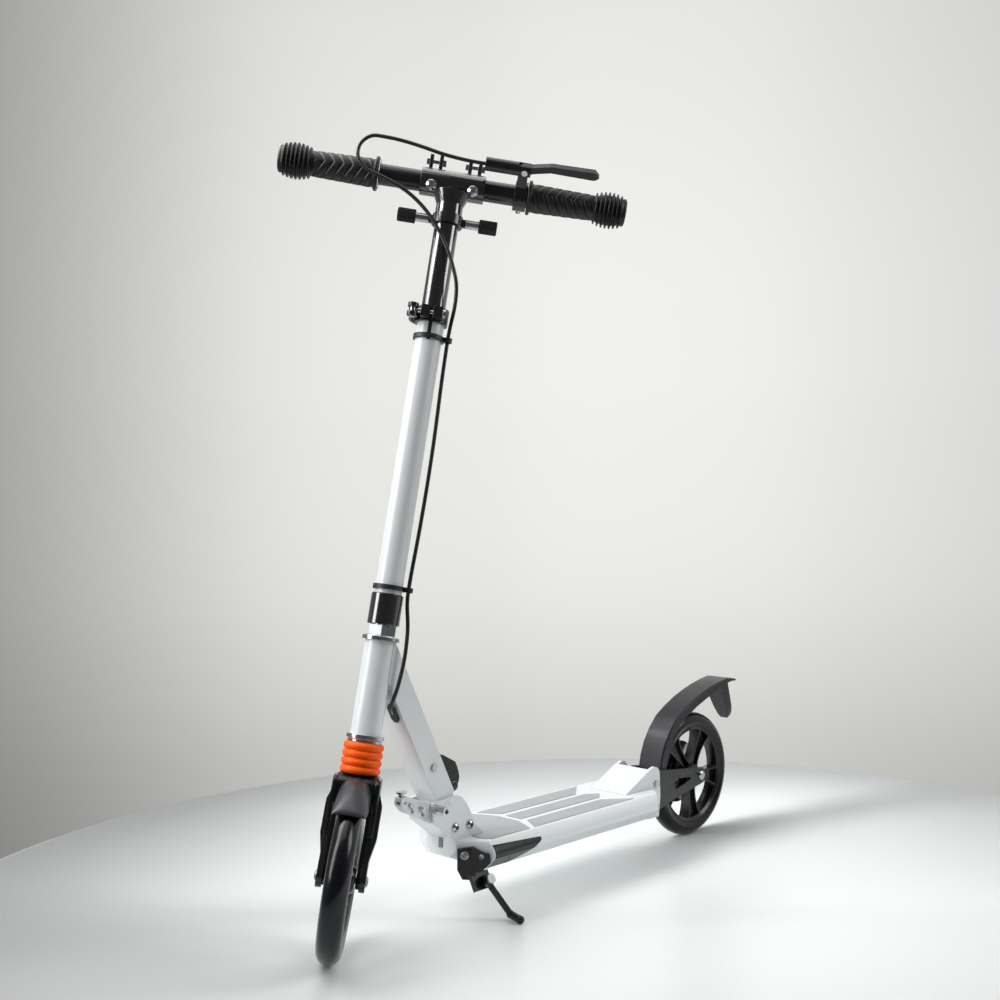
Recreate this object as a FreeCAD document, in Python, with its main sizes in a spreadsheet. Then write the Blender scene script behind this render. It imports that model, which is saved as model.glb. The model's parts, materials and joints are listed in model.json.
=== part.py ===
import FreeCAD, Part
import math
import os
import re
import Sketcher
from FreeCAD import Placement, Rotation, Vector

# Folding kick scooter with two sprung wheels. All sizes are millimetres and degrees.
# x runs forward, y to the rider's left, z up. The scooter is drawn upright, and then
# leans on its kickstand with the bar turned to the left.

SIZES = {
    # stance
    "lean_angle": 1.6, "steer_angle": 45.5, "rake_angle": 12.0, "wheelbase": 765.0,
    "fork_offset": 38.0,
    # wheels
    "wheel_radius": 100.0, "tyre_width": 30.0, "rim_radius": 78.0, "rim_wall": 6.0,
    "rim_width": 25.0, "hub_radius": 15.0, "hub_length": 34.0, "bearing_radius": 11.0,
    "bearing_width": 7.0, "axle_radius": 4.0, "axle_play": 0.05, "spoke_width": 6.5,
    "spoke_depth": 15.0, "spoke_pairs": 5, "spoke_spread": 13.0, "spoke_bow": 52.0,
    # steering column, measured up the steering axis from the axle's level
    "crown_bottom": 104.0, "crown_top": 121.0, "lower_ring_bottom": 163.5,
    "head_bottom": 169.0, "head_top": 287.0, "upper_ring_top": 293.0, "lock_nut_top": 306.0,
    "collar_top": 346.0, "outer_tube_bottom": 318.0, "outer_tube_top": 709.0,
    "bar_level": 893.0, "holder_drop": 50.0, "inner_tube_bottom": 545.0,
    "steerer_radius": 14.3, "steerer_wall": 1.7, "steerer_top": 345.0,
    "outer_tube_radius": 17.5, "outer_tube_wall": 1.45, "inner_tube_radius": 16.0,
    "inner_tube_wall": 2.0, "clamp_ahead": 23.0, "clamp_level": 711.0, "clamp_barrel": 25.0,
    "slide_play": 0.05, "fit_gap": 0.3,
    "head_radius": 19.5, "head_bore": 16.8, "ring_radius": 23.5,
    "collar_radius": 20.5, "bellows_peak": 26.0, "bellows_root": 22.5, "bellows_bore": 16.0,
    "bellows_folds": 4, "spring_radius": 10.7, "spring_wire": 3.0, "spring_coils": 9,
    "post_top": 266.0, "post_play": 0.08,
    # fork
    "leg_inner": 22.5, "leg_thickness": 7.0, "leg_rib": 5.0, "crown_depth": 17.0, "dropout_reach": 13.0,
    "dropout_skew": 5.0, "fender_gap": 3.2, "fender_thickness": 2.6, "fender_width": 38.0,
    "fender_sweep": 60.0,
    # handlebar
    "bar_radius": 14.0, "bar_wall": 2.0, "bar_end": 228.0, "bar_start": 4.0,
    "tee_radius": 18.5, "tee_half": 42.5, "ear_spread": 26.0, "ear_gap": 8.0,
    "ear_thickness": 5.0, "ear_height": 22.0, "ear_width": 14.0, "button_place": 27.5,
    "button_radius": 7.5, "button_travel": 3.0, "button_tilt": 30.0, "grip_start": 100.0, "grip_end": 232.0,
    "grip_radius": 18.0, "grip_bulb": 23.5, "grip_bulb_length": 44.0, "grip_flange": 21.5,
    "grip_flange_length": 6.0,
    "holder_ring": 20.5, "holder_height": 13.0, "holder_reach": 66.0, "holder_stub": 24.0,
    "holder_stub_radius": 8.5,
    # brake lever, in the plane that rises forward from the bar
    "lever_tilt": 38.0, "lever_offset": 40.0, "perch_start": 82.0, "perch_width": 17.0,
    "perch_ring": 19.5, "barrel_radius": 9.0, "barrel_start": 39.0, "lever_pivot": 91.0,
    "lever_tip": 188.0, "lever_blade": 9.0, "lever_thickness": 10.0,
    # fold
    "fold_ahead": 574.0, "fold_height": 151.0, "fold_axle_radius": 7.0,
    "cheek_inner": 19.4, "cheek_thickness": 4.4, "tube_lean": 27.0, "tube_depth": 33.0,
    "tube_width": 38.0, "tube_wall": 2.5, "tube_start": 12.0, "tube_back": 7.0,
    "tube_length": 235.0, "barrel_fold": 14.5, "mouth_up": 148.0, "screw_up": 56.0,
    "lever_width": 24.0, "latch_bolt": 3.0, "latch_barrel": 6.0, "latch_reach": 46.0,
    "latch_thickness": 13.0,
    # deck
    "deck_rear": 150.0, "deck_front": 562.0, "deck_top": 104.0, "deck_depth": 36.0,
    "deck_half_top": 60.0, "deck_half": 72.0, "deck_half_bottom": 56.0, "deck_wall": 3.0,
    "bow_length": 28.0, "bow_half": 28.0, "bow_depth": 23.0, "deck_end_half": 44.0,
    "deck_taper_rear": 28.0, "insert_length": 92.0,
    "tape_thickness": 0.8,
    # rear end
    "swing_ahead": 135.0, "swing_height": 72.0, "block_ahead": 108.0, "arm_inner": 22.0,
    "arm_thickness": 5.0,
    "bracket_inner": 28.5, "bracket_wall": 5.5, "fender_ahead": 131.0,
    "fender_height": 111.0, "fender_half": 22.0, "guard_wall": 3.0, "skirt_depth": 13.0,
    "rotor_radius": 50.0, "rotor_thickness": 2.0, "rotor_bore": 11.5,
    # kickstand
    "stand_back": 25.0, "stand_out": 32.0, "stand_drop": 50.0, "foot_back": 46.0,
    "foot_out": 72.0, "foot_radius": 5.5, "foot_length": 21.0, "stand_rod": 4.3, "stand_tilt": 62.0,
    # brake cable
    "cable_radius": 2.5,
}

doc = FreeCAD.newDocument("kick_scooter")
sheet = doc.addObject("Spreadsheet::Sheet", "Sizes")
for row, (word, number) in enumerate(SIZES.items(), 1):
    sheet.set("A%d" % row, word)
    sheet.set("B%d" % row, str(number))
    sheet.setAlias("B%d" % row, word)
doc.recompute()

NODES = []
LYING = Rotation(Vector(1, 0, 0), -90)     # turns a local z axis to the left


def bound(text):
    """The expression with each size's name pointing at its cell."""
    return re.sub(r"[a-z_]{2,}", lambda w: "Sizes." + w.group() if w.group() in SIZES else w.group(), text)


def size(text):
    """The value of an expression of sizes."""
    return float(sheet.evalExpression(bound(str(text))))


def node(shape, label, place):
    """Names a finished sub-part and puts it in its place."""
    shape.Label = label
    shape.Placement = place
    NODES.append(shape)
    return shape


def new_body(name):
    return doc.addObject("PartDesign::Body", name)


def outline(body, name, role, points, circles=(), lift="0"):
    """A closed sketch on an origin plane of the body. Each point is (x, y) or (x, y, radius):
    with a radius, the edge to the next point is an arc, which bows to the right of its way
    if the radius is positive and to the left if it is negative."""
    sketch = body.newObject("Sketcher::SketchObject", name)
    origin_plane = [item for item in body.Origin.OriginFeatures if item.Role == role][0]
    sketch.AttachmentSupport = [(origin_plane, "")]
    sketch.MapMode = "FlatFace"
    sketch.setExpression("AttachmentOffset.Base.z", bound(lift))
    places = [Vector(size(point[0]), size(point[1]), 0) for point in points]
    count = len(points)
    ends = []
    for i in range(count):
        start, stop = places[i], places[(i + 1) % count]
        if len(points[i]) == 2:
            edge = sketch.addGeometry(Part.LineSegment(start, stop))
            ends.append((edge, 1, 2))
            continue
        radius = size(points[i][2])
        half = (stop - start) * 0.5
        side = Vector(half.y, -half.x, 0).normalize()
        depth = abs(radius) - math.sqrt(max(radius * radius - half.Length ** 2, 0))
        middle = start + half + side * math.copysign(depth, radius)
        forward = radius > 0
        edge = sketch.addGeometry(Part.Arc(*((start, middle, stop) if forward else (stop, middle, start))))
        ends.append((edge, 1, 2) if forward else (edge, 2, 1))
        pin = sketch.addConstraint(Sketcher.Constraint("Radius", edge, abs(radius)))
        sketch.setExpression("Constraints[%d]" % pin, bound("abs(%s)" % points[i][2]))
    for i in range(count):
        edge, first, last = ends[i]
        after, after_first, after_last = ends[(i + 1) % count]
        sketch.addConstraint(Sketcher.Constraint("Coincident", edge, last, after, after_first))
        for kind, place, text in (("DistanceX", places[i].x, points[i][0]),
                ("DistanceY", places[i].y, points[i][1])):
            pin = sketch.addConstraint(Sketcher.Constraint(kind, -1, 1, edge, first, place))
            sketch.setExpression("Constraints[%d]" % pin, bound(text))
    for across, up, radius in circles:
        centre = Vector(size(across), size(up), 0)
        edge = sketch.addGeometry(Part.Circle(centre, Vector(0, 0, 1), size(radius)))
        for kind, where, text in (("DistanceX", (-1, 1, edge, 3), across),
                ("DistanceY", (-1, 1, edge, 3), up),
                                  ("Radius", (edge,), radius)):
            pin = sketch.addConstraint(Sketcher.Constraint(kind, *where, size(text)))
            sketch.setExpression("Constraints[%d]" % pin, bound(text))
    return sketch


def pad(body, profile, length, midplane=False, reverse=False):
    feature = body.newObject("PartDesign::Pad", profile.Name + "_pad")
    feature.Profile = profile
    feature.Midplane = midplane
    feature.Reversed = reverse
    feature.setExpression("Length", bound(length))
    return feature


def pocket(body, profile, length, midplane=True, reverse=False):
    feature = body.newObject("PartDesign::Pocket", profile.Name + "_cut")
    feature.Profile = profile
    feature.Midplane = midplane
    feature.Reversed = reverse
    feature.setExpression("Length", bound(length))
    return feature


def revolve(body, profile, angle="360"):
    feature = body.newObject("PartDesign::Revolution", profile.Name + "_turn")
    feature.Profile = profile
    feature.ReferenceAxis = (profile, ["V_Axis"])
    feature.setExpression("Angle", bound(angle))
    return feature



def turned(name, points, angle="360"):
    """A body turned about its own z axis from a profile of (radius, height) points."""
    body = new_body(name)
    revolve(body, outline(body, name + "_profile", "XZ_Plane", points), angle)
    return body


def ring(name, inner, outer, low, high):
    return turned(name, [(inner, low), (outer, low), (outer, high), (inner, high)])


def plate(name, points, thickness, circles=(), midplane=True, role="XZ_Plane", lift="0"):
    """A flat body padded from an outline; on the XZ plane it spreads to both sides."""
    body = new_body(name)
    pad(body, outline(body, name + "_outline", role, points, circles, lift), thickness, midplane)
    return body


def cylinder(name, radius, height, at=("0", "0", "0"), turn=Rotation()):
    part = doc.addObject("Part::Cylinder", name)
    part.setExpression("Radius", bound(radius))
    part.setExpression("Height", bound(height))
    move(part, at, turn)
    return part


def box(name, length, width, height, at, turn=Rotation()):
    part = doc.addObject("Part::Box", name)
    part.setExpression("Length", bound(length))
    part.setExpression("Width", bound(width))
    part.setExpression("Height", bound(height))
    move(part, at, turn)
    return part


def move(part, at, turn=Rotation()):
    """Ties an inner piece's place to sizes."""
    part.Placement = Placement(Vector(), turn)
    for letter, text in zip("xyz", at):
        if text != "0":
            part.setExpression("Placement.Base." + letter, bound(text))
    return part


def across(name, radius, left, right, along="0", up="0"):
    """A round bar across the scooter, from its right end to its left end."""
    return cylinder(name, radius, "(%s)-(%s)" % (left, right), (along, right, up), LYING)


def socket_head(name, radius, height, at, turn=Rotation()):
    """A domed screw head with a hexagon socket; its flat side is at its local z = 0."""
    dome = turned(name + "_dome", [
        ("0", "0"), (radius, "0"), (radius, "0.3*(%s)" % height, "1.2*(%s)" % radius),
        ("0.45*(%s)" % radius, height), ("0", height)])
    hexagon = [("%.6f*(%s)" % (0.5 * math.cos(math.radians(60 * i)), radius),
                "%.6f*(%s)" % (0.5 * math.sin(math.radians(60 * i)), radius)) for i in range(6)]
    socket = new_body(name + "_socket")
    pad(socket, outline(socket, name + "_hexagon", "XY_Plane", hexagon, (), "0.35*(%s)" % height), height)
    return move(cut(name, dome, [socket]), at, turn)


def fuse(name, parts):
    joined = doc.addObject("Part::MultiFuse", name)
    joined.Shapes = parts
    joined.Refine = True
    return joined


def cut(name, base, tools):
    """The base less its tools, which are joined first."""
    result = doc.addObject("Part::Cut", name)
    result.Base = base
    result.Tool = tools[0] if len(tools) == 1 else fuse(name + "_tools", tools)
    result.Refine = True
    return result


def group(name, parts):
    """Separate solids that share one node."""
    together = doc.addObject("Part::Compound", name)
    together.Links = parts
    return together


# ---- places -------------------------------------------------------------------------

def column(steered=True):
    """The steering column's own frame in the upright scooter: x forward, z up the axis."""
    rake = math.radians(size("rake_angle"))
    axle = Vector(size("wheelbase"), 0, size("wheel_radius"))
    forward = Vector(math.cos(rake), 0, math.sin(rake))
    place = Placement(axle - forward * size("fork_offset"), Rotation(Vector(0, 1, 0), -size("rake_angle")))
    if steered:
        place = place.multiply(Placement(Vector(), Rotation(Vector(0, 0, 1), size("steer_angle"))))
    return place


def lowest(turn, centre, axle):
    """The height of a round tyre's lowest point once the scooter is turned."""
    section = size("tyre_width") / 2
    side = turn.multVec(axle).z
    return turn.multVec(centre).z - (size("wheel_radius") - section) * math.sqrt(1 - side * side) - section


def stance():
    """Leans and pitches the upright scooter so that both tyres touch the floor."""
    front = column()
    centre = front.multVec(Vector(size("fork_offset"), 0, 0))
    axle = front.Rotation.multVec(Vector(0, 1, 0))
    rear = Vector(0, 0, size("wheel_radius"))
    pitch = 0.0
    for _ in range(5):
        turn = Rotation(Vector(1, 0, 0), -size("lean_angle")).multiply(Rotation(Vector(0, 1, 0), pitch))
        drop = lowest(turn, rear, Vector(0, 1, 0))
        pitch += math.degrees(math.atan((lowest(turn, centre, axle) - drop) / size("wheelbase")))
    return Placement(Vector(0, 0, -drop), turn)


UPRIGHT = stance()
FRAME_COLUMN = UPRIGHT.multiply(column(steered=False))
COLUMN = UPRIGHT.multiply(column())
BAR = COLUMN.multiply(Placement(Vector(0, 0, size("bar_level")), Rotation()))
FRONT_WHEEL = COLUMN.multiply(Placement(Vector(size("fork_offset"), 0, 0), LYING))
REAR_WHEEL = UPRIGHT.multiply(Placement(Vector(0, 0, size("wheel_radius")), LYING))
FOLD = UPRIGHT.multiply(Placement(Vector(size("fold_ahead"), 0, size("fold_height")), Rotation()))
TUBE = FOLD.multiply(Placement(Vector(), Rotation(Vector(0, 1, 0), size("tube_lean"))))
MOUTH_WAY = Vector(10, 11, 18).normalize()     # the cable's way out of the down tube's front
MOUTH_FACE = Vector(size("tube_depth/2-tube_back"), 6, size("mouth_up"))
MOUTH = Placement(MOUTH_FACE - MOUTH_WAY * 25, Rotation(Vector(0, 0, 1), MOUTH_WAY))
STAND = UPRIGHT.multiply(Placement(Vector(size("deck_front-stand_back"), size("bow_half+stand_out"),
                                          size("deck_top-stand_drop")),
                                          Rotation(Vector(1, 0, 0), -size("stand_tilt"))))
CATCH = Vector(-size("tube_back+tube_depth/2") - 6.5, 0, 9)     # the fold lever's pin, behind the tube
BUTTON_WAY = Rotation(Vector(0, 1, 0), 90 + size("button_tilt"))
LEVER = BAR.multiply(Placement(Vector(), Rotation(Vector(0, 1, 0), -size("lever_tilt"))))


# ---- wheels -------------------------------------------------------------------------

def build_tyre(label, place):
    """A round-topped tyre cast on its rim."""
    half = "tyre_width/2"
    body = turned(label, [
        ("rim_radius+0.02", "-rim_width/2"), ("wheel_radius-" + half, "-" + half, half + "+0.01"),
        ("wheel_radius-" + half, half), ("rim_radius+0.02", "rim_width/2")])
    node(body, label, place)


def build_rim(label, place):
    """A cast rim: hub, ring, and pairs of bowed spokes that part like petals."""
    body = new_body(label)
    ring_in = "rim_radius-rim_wall"
    half = "rim_width/2"
    revolve(body, outline(body, label + "_ring", "XZ_Plane", [
        (ring_in, "-%s+3" % half), ("rim_radius-1.5", "-" + half), ("rim_radius", "-" + half),
        ("rim_radius", half), ("rim_radius-1.5", half), (ring_in, half + "-3")]))
    revolve(body, outline(body, label + "_hub", "XZ_Plane", [
        ("axle_radius+3", "-hub_length/2+bearing_width"),
        ("bearing_radius+0.02", "-hub_length/2+bearing_width"), ("bearing_radius+0.02", "-hub_length/2"),
        ("hub_radius", "-hub_length/2"), ("hub_radius+2", "0"), ("hub_radius", "hub_length/2"),
        ("bearing_radius+0.02", "hub_length/2"), ("bearing_radius+0.02", "hub_length/2-bearing_width"),
        ("axle_radius+3", "hub_length/2-bearing_width")]))
    near = "hub_radius-1"
    far = "rim_radius-rim_wall+1"
    features = []
    for side in ("", "-"):
        arc = "spoke_bow" if side else "-spoke_bow"
        back = "-spoke_bow-spoke_width" if side else "spoke_bow+spoke_width"
        blade = outline(body, label + ("_blade_b" if side else "_blade_a"), "XY_Plane", [
            (near, side + "1", arc), (far, side + "spoke_spread"),
            (far, side + "(spoke_spread+spoke_width)", back), (near, side + "(spoke_width+1)")])
        features.append(pad(body, blade, "spoke_depth", midplane=True))
    doc.recompute()
    pattern = body.newObject("PartDesign::PolarPattern", label + "_spokes")
    pattern.Originals = features
    pattern.Axis = (features[0].Profile[0], ["N_Axis"])
    pattern.Angle = 360
    pattern.setExpression("Occurrences", bound("spoke_pairs"))
    body.Tip = pattern
    node(body, label, place)


def build_bearings(label, place):
    rings = []
    for end in ("-hub_length/2", "hub_length/2-bearing_width"):
        name = label + "_%d" % len(rings)
        rings.append(ring(name, "axle_radius+axle_play", "bearing_radius", end, end + "+bearing_width"))
    node(group(label, rings), label, place)


def build_axle(label, place, reach):
    """A through bolt with a domed head, its nut and two spacers beside the hub."""
    bolt = turned(label + "_bolt", [
        ("0", "-(%s)-1" % reach), ("axle_radius", "-(%s)-1" % reach), ("axle_radius", reach),
        ("axle_radius+4", reach), ("axle_radius+3.5", "(%s)+3" % reach),
        ("axle_radius+1.5", "(%s)+4.5" % reach),
        ("0", "(%s)+4.5" % reach)])
    nut = ring(label + "_nut", "axle_radius+0.02", "axle_radius+3.5", "-(%s)-6" % reach, "-(%s)" % reach)
    spacers = [
        ring(label + "_spacer_a", "axle_radius+axle_play", "axle_radius+2.5", "hub_length/2+0.1",
        "arm_inner-0.02"),
        ring(label + "_spacer_b", "axle_radius+axle_play", "axle_radius+2.5", "-arm_inner+0.02",
        "-hub_length/2-0.1")]
    node(group(label, [bolt, nut] + spacers), label, place)


for end, wheel in (("front", FRONT_WHEEL), ("rear", REAR_WHEEL)):
    build_tyre(end + "_tyre", wheel)
    build_rim(end + "_rim", wheel)
    build_bearings(end + "_bearings", wheel)
build_axle("front_axle", FRONT_WHEEL, "leg_inner+leg_thickness")
build_axle("rear_axle", REAR_WHEEL, "arm_inner+arm_thickness")


# ---- fork and steering column -------------------------------------------------------

def build_fork():
    """Crown, two flat legs, and the post that slides in the steerer."""
    legs = plate("fork_legs", [
        ("-crown_depth", "crown_bottom"), ("-crown_depth", "crown_top-4"), ("-crown_depth+4", "crown_top"),
        ("crown_depth-4", "crown_top"), ("crown_depth", "crown_top-4"),
        ("crown_depth", "crown_bottom-6"),
        ("fork_offset+dropout_reach", "dropout_skew", "-sqrt(dropout_reach^2+dropout_skew^2)-0.01"),
        ("fork_offset-dropout_reach", "-dropout_skew")], "2*(leg_inner+leg_thickness)",
        [("fork_offset", "0", "axle_radius+axle_play")])
    gap = plate("fork_gap", [
        ("-60", "-40"), ("-60", "crown_bottom"), ("120", "crown_bottom"), ("120", "-40")], "2*leg_inner")
    post = ring("fork_post", "8", "steerer_radius-steerer_wall-post_play", "crown_top-5", "post_top")
    shoulders = [box("shoulder_%d" % i, "60", "20", "20", ("-30", "0", "0"), Rotation()) for i in (0, 1)]
    for shoulder, side in zip(shoulders, (1, -1)):
        shoulder.Placement = Placement(Vector(), Rotation(Vector(1, 0, 0), -45 * side))
        low = "leg_inner+leg_thickness-5" if side > 0 else "-(leg_inner+leg_thickness-5)-14.142"
        lift = "crown_top" if side > 0 else "crown_top-14.142"
        for letter, text in zip("xyz", ("-30", low, lift)):
            shoulder.setExpression("Placement.Base." + letter, bound(text))
    ribs = []
    slant = math.degrees(math.atan2(size("fork_offset"), size("crown_bottom+6")))
    face = "leg_inner+leg_thickness"
    for side in ("", "-"):
        rib = plate("leg_rib_%d" % len(ribs), [
            (side + "(%s-1)" % face, "18"), (side + "(%s+leg_rib)" % face, "50"),
            (side + "(%s+leg_rib)" % face, "90"), (side + "(%s-1)" % face, "108")], "15", (), True,
            "YZ_Plane")
        ribs.append(move(rib, ("fork_offset", "0", "0"), Rotation(Vector(0, 1, 0), -slant)))
    shaped = cut("fork_shaped", legs, [gap] + shoulders)
    node(fuse("fork_whole", [shaped, post] + ribs), "fork", COLUMN)


def build_front_fender():
    """A short curved guard between the legs, close above the tyre."""
    inner = "wheel_radius+fender_gap"
    body = turned("front_fender_arc", [
        (inner, "-fender_width/2"), (inner + "+fender_thickness-1", "-fender_width/2"),
        (inner + "+fender_thickness", "-fender_width/2+4"), (inner + "+fender_thickness",
        "fender_width/2-4"),
        (inner + "+fender_thickness-1", "fender_width/2"), (inner, "fender_width/2")], "fender_sweep")
    node(body, "front_fender", FRONT_WHEEL.multiply(Placement(Vector(), Rotation(Vector(0, 0, 1), -107))))


def build_steerer():
    """The tube that turns in the head, closed at the top over the suspension spring."""
    bore = "steerer_radius-steerer_wall"
    node(turned("steerer", [
        (bore, "lower_ring_bottom-fit_gap-3"), ("ring_radius-2", "lower_ring_bottom-fit_gap-3"),
        ("ring_radius-2", "lower_ring_bottom-fit_gap"), ("steerer_radius", "lower_ring_bottom-fit_gap"),
        ("steerer_radius", "steerer_top"), ("0", "steerer_top"), ("0", "steerer_top-5"),
        (bore, "steerer_top-5")]),
        "steerer_tube", COLUMN)


def build_headset():
    """Pressed cups with their bushed bores, below and above the head tube."""
    bore = "steerer_radius+slide_play"
    lower = turned("lower_cup", [
        (bore, "lower_ring_bottom"), ("ring_radius-1", "lower_ring_bottom"),
        ("ring_radius", "lower_ring_bottom+1"),
        ("ring_radius", "head_bottom"), ("head_bore-0.02", "head_bottom"),
        ("head_bore-0.02", "head_bottom+12"),
        (bore, "head_bottom+12")])
    upper = turned("upper_cup", [
        (bore, "head_top-12"), ("head_bore-0.02", "head_top-12"), ("head_bore-0.02", "head_top"),
        ("ring_radius", "head_top"), ("ring_radius", "upper_ring_top-1.5"),
        ("ring_radius-3", "upper_ring_top"),
        (bore, "upper_ring_top")])
    node(group("cups", [lower, upper]), "headset_cups", FRAME_COLUMN)
    body = new_body("lock_nut")
    hexagon = [("%.6f*(steerer_radius+5)" % math.cos(math.radians(60 * i)),
                "%.6f*(steerer_radius+5)" % math.sin(math.radians(60 * i))) for i in range(6)]
    pad(body, outline(body, "lock_nut_hexagon", "XY_Plane", hexagon, [("0", "0", "steerer_radius+0.02")],
                      "upper_ring_top+fit_gap"), "lock_nut_top-upper_ring_top-fit_gap")
    node(body, "headset_locknut", COLUMN)


def build_head_tube():
    node(ring("head", "head_bore", "head_radius", "head_bottom", "head_top"), "head_tube", FRAME_COLUMN)


def build_stem_collar():
    """Clamp that joins the steerer and the stem's outer tube, split at the back."""
    collar = turned("collar_ring", [
        ("steerer_radius+0.02", "lock_nut_top+fit_gap"), ("collar_radius-1", "lock_nut_top+fit_gap"),
        ("collar_radius", "lock_nut_top+fit_gap+1"), ("collar_radius", "collar_top-1"),
        ("collar_radius-1", "collar_top"),
        ("outer_tube_radius+0.02", "collar_top"), ("outer_tube_radius+0.02", "outer_tube_bottom"),
        ("steerer_radius+0.02", "outer_tube_bottom")])
    ears = box("collar_ears", "9", "16", "collar_top-lock_nut_top-4",
               ("-collar_radius-7", "-8", "lock_nut_top+2"))
    slit = box("collar_slit", "14", "3", "collar_top-lock_nut_top+20",
               ("-collar_radius-12", "-1.5", "lock_nut_top-10"))
    bore = cylinder("collar_bore", "outer_tube_radius+0.02", "60", ("0", "0", "lock_nut_top-5"))
    holes = [across("collar_hole_%d" % i, "3.02", "12", "-12", "-collar_radius-3.5", up) for i, up in
             enumerate(("lock_nut_top+11", "collar_top-11"))]
    trimmed = cut("collar_ear_pair", ears, [bore])
    whole = fuse("collar_solid", [collar, trimmed])
    node(cut("collar_cut", whole, [slit] + holes), "stem_collar", COLUMN)


def build_clamp_bolts():
    """The stem collar's two bolts and the height clamp's bolt."""
    bolts = []
    for i, up in enumerate(("lock_nut_top+11", "collar_top-11")):
        shank = across("collar_shank_%d" % i, "3", "12", "-10", "-collar_radius-3.5", up)
        head = across("collar_head_%d" % i, "5", "12", "8.02", "-collar_radius-3.5", up)
        bolts.append(fuse("collar_bolt_%d" % i, [shank, head]))
    shank = across("height_shank", "3", "15", "-clamp_barrel", "clamp_ahead", "clamp_level")
    head = across("height_head", "6.5", "18", "14.02", "clamp_ahead", "clamp_level")
    barrel = cylinder("height_barrel", "4", "19", ("clamp_ahead", "-clamp_barrel", "clamp_level-9.5"))
    bolts.append(fuse("height_bolt", [shank, head, barrel]))
    node(group("column_bolts", bolts), "clamp_bolts", COLUMN)


def build_stem():
    """The outer tube, the inner tube and the key that stops the inner one turning."""
    tube = ring("outer_tube_plain", "outer_tube_radius-outer_tube_wall", "outer_tube_radius",
                "outer_tube_bottom", "outer_tube_top")
    slot = box("outer_tube_slot", "10", "5", "34", ("outer_tube_radius-8", "-2.5", "outer_tube_top-32"))
    node(cut("outer_tube_slotted", tube, [slot]), "outer_tube", COLUMN)
    node(ring("inner_tube_plain", "inner_tube_radius-inner_tube_wall", "inner_tube_radius",
              "inner_tube_bottom-bar_level", "-tee_radius-2"), "inner_tube", BAR)


def build_height_clamp():
    """Clamp at the outer tube's top: a band, a pair of ears on its right, and its slit."""
    low = "outer_tube_top-8"
    band = turned("clamp_band", [
        ("outer_tube_radius+0.02", low), ("outer_tube_radius+4", low),
        ("outer_tube_radius+4", "outer_tube_top+12"),
        ("inner_tube_radius+fit_gap", "outer_tube_top+12"), ("inner_tube_radius+fit_gap",
        "outer_tube_top+0.02"),
        ("outer_tube_radius+0.02", "outer_tube_top+0.02")])
    lug = box("clamp_lug", "13", "28", "16", ("clamp_ahead-7", "-14", "clamp_level-8"))
    bore = cylinder("clamp_bore", "outer_tube_radius+0.02", "60", ("0", "0", low + "-20"))
    slit = box("clamp_slit", "20", "4", "40", ("inner_tube_radius-1", "-2", low + "-4"))
    hole = across("clamp_hole", "3.02", "20", "-20", "clamp_ahead", "clamp_level")
    trimmed = cut("clamp_lug_trimmed", lug, [bore])
    whole = fuse("clamp_solid", [band, trimmed])
    node(cut("clamp_cut", whole, [slit, hole]), "height_clamp", COLUMN)


def build_clamp_lever():
    """Quick-release lever: two prongs on the bolt's barrel, and a blade around the tube."""
    eye = cylinder("clamp_eye", "7", "17", ("clamp_ahead", "-clamp_barrel", "clamp_level-8.5"))
    blade = turned("clamp_blade", [
        ("clamp_barrel+1.5", "-7"), ("clamp_barrel+5", "-7"), ("clamp_barrel+5", "7"),
        ("clamp_barrel+1.5", "7")],
        "110")
    move(blade, ("0", "0", "clamp_level"), Rotation(Vector(0, 0, 1), -165))
    bore = cylinder("clamp_eye_bore", "4.05", "30", ("clamp_ahead", "-clamp_barrel", "clamp_level-15"))
    gap = box("clamp_eye_gap", "12", "15", "6.4", ("clamp_ahead-4.5", "-clamp_barrel-7.5",
        "clamp_level-3.2"))
    node(cut("clamp_lever_cut", fuse("clamp_lever_solid", [eye, blade]), [bore, gap]), "clamp_lever",
        COLUMN)


def build_bellows():
    """Rubber bellows over the fork's post, with one arc for each fold."""
    low = "crown_top+fit_gap"
    pitch = "(lower_ring_bottom-fit_gap-3.3-crown_top-fit_gap)/bellows_folds"
    folds = int(size("bellows_folds"))
    profile = [("bellows_root", "%s+%s*%d" % (low, pitch, i), "0.56*" + pitch) for i in range(folds)]
    top = ("bellows_root", "%s+%s*%d" % (low, pitch, folds))
    node(turned("bellows_turned", profile + [top, ("bellows_bore", top[1]), ("bellows_bore", low)]),
         "bellows", COLUMN)


def build_suspension_spring():
    """Coil spring above the fork's post, drawn as its stacked turns."""
    pitch = "(steerer_top-5-post_top-2*fit_gap)/spring_coils"
    coils = int(size("spring_coils"))
    low = "post_top+fit_gap"
    profile = [("spring_radius-spring_wire/2", "%s+%s*%d" % (low, pitch, i),
        "0.52*" + pitch) for i in range(coils)]
    top = ("spring_radius-spring_wire/2", "%s+%s*%d" % (low, pitch, coils))
    node(turned("spring_turned", profile + [top, ("spring_radius-spring_wire", top[1]),
                                            ("spring_radius-spring_wire", low)]), "suspension_spring",
                                            COLUMN)


build_fork()
build_front_fender()
build_steerer()
build_headset()
build_head_tube()
build_stem_collar()
build_clamp_bolts()
build_stem()
build_height_clamp()
build_clamp_lever()
build_bellows()
build_suspension_spring()


# ---- handlebar ----------------------------------------------------------------------

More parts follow.
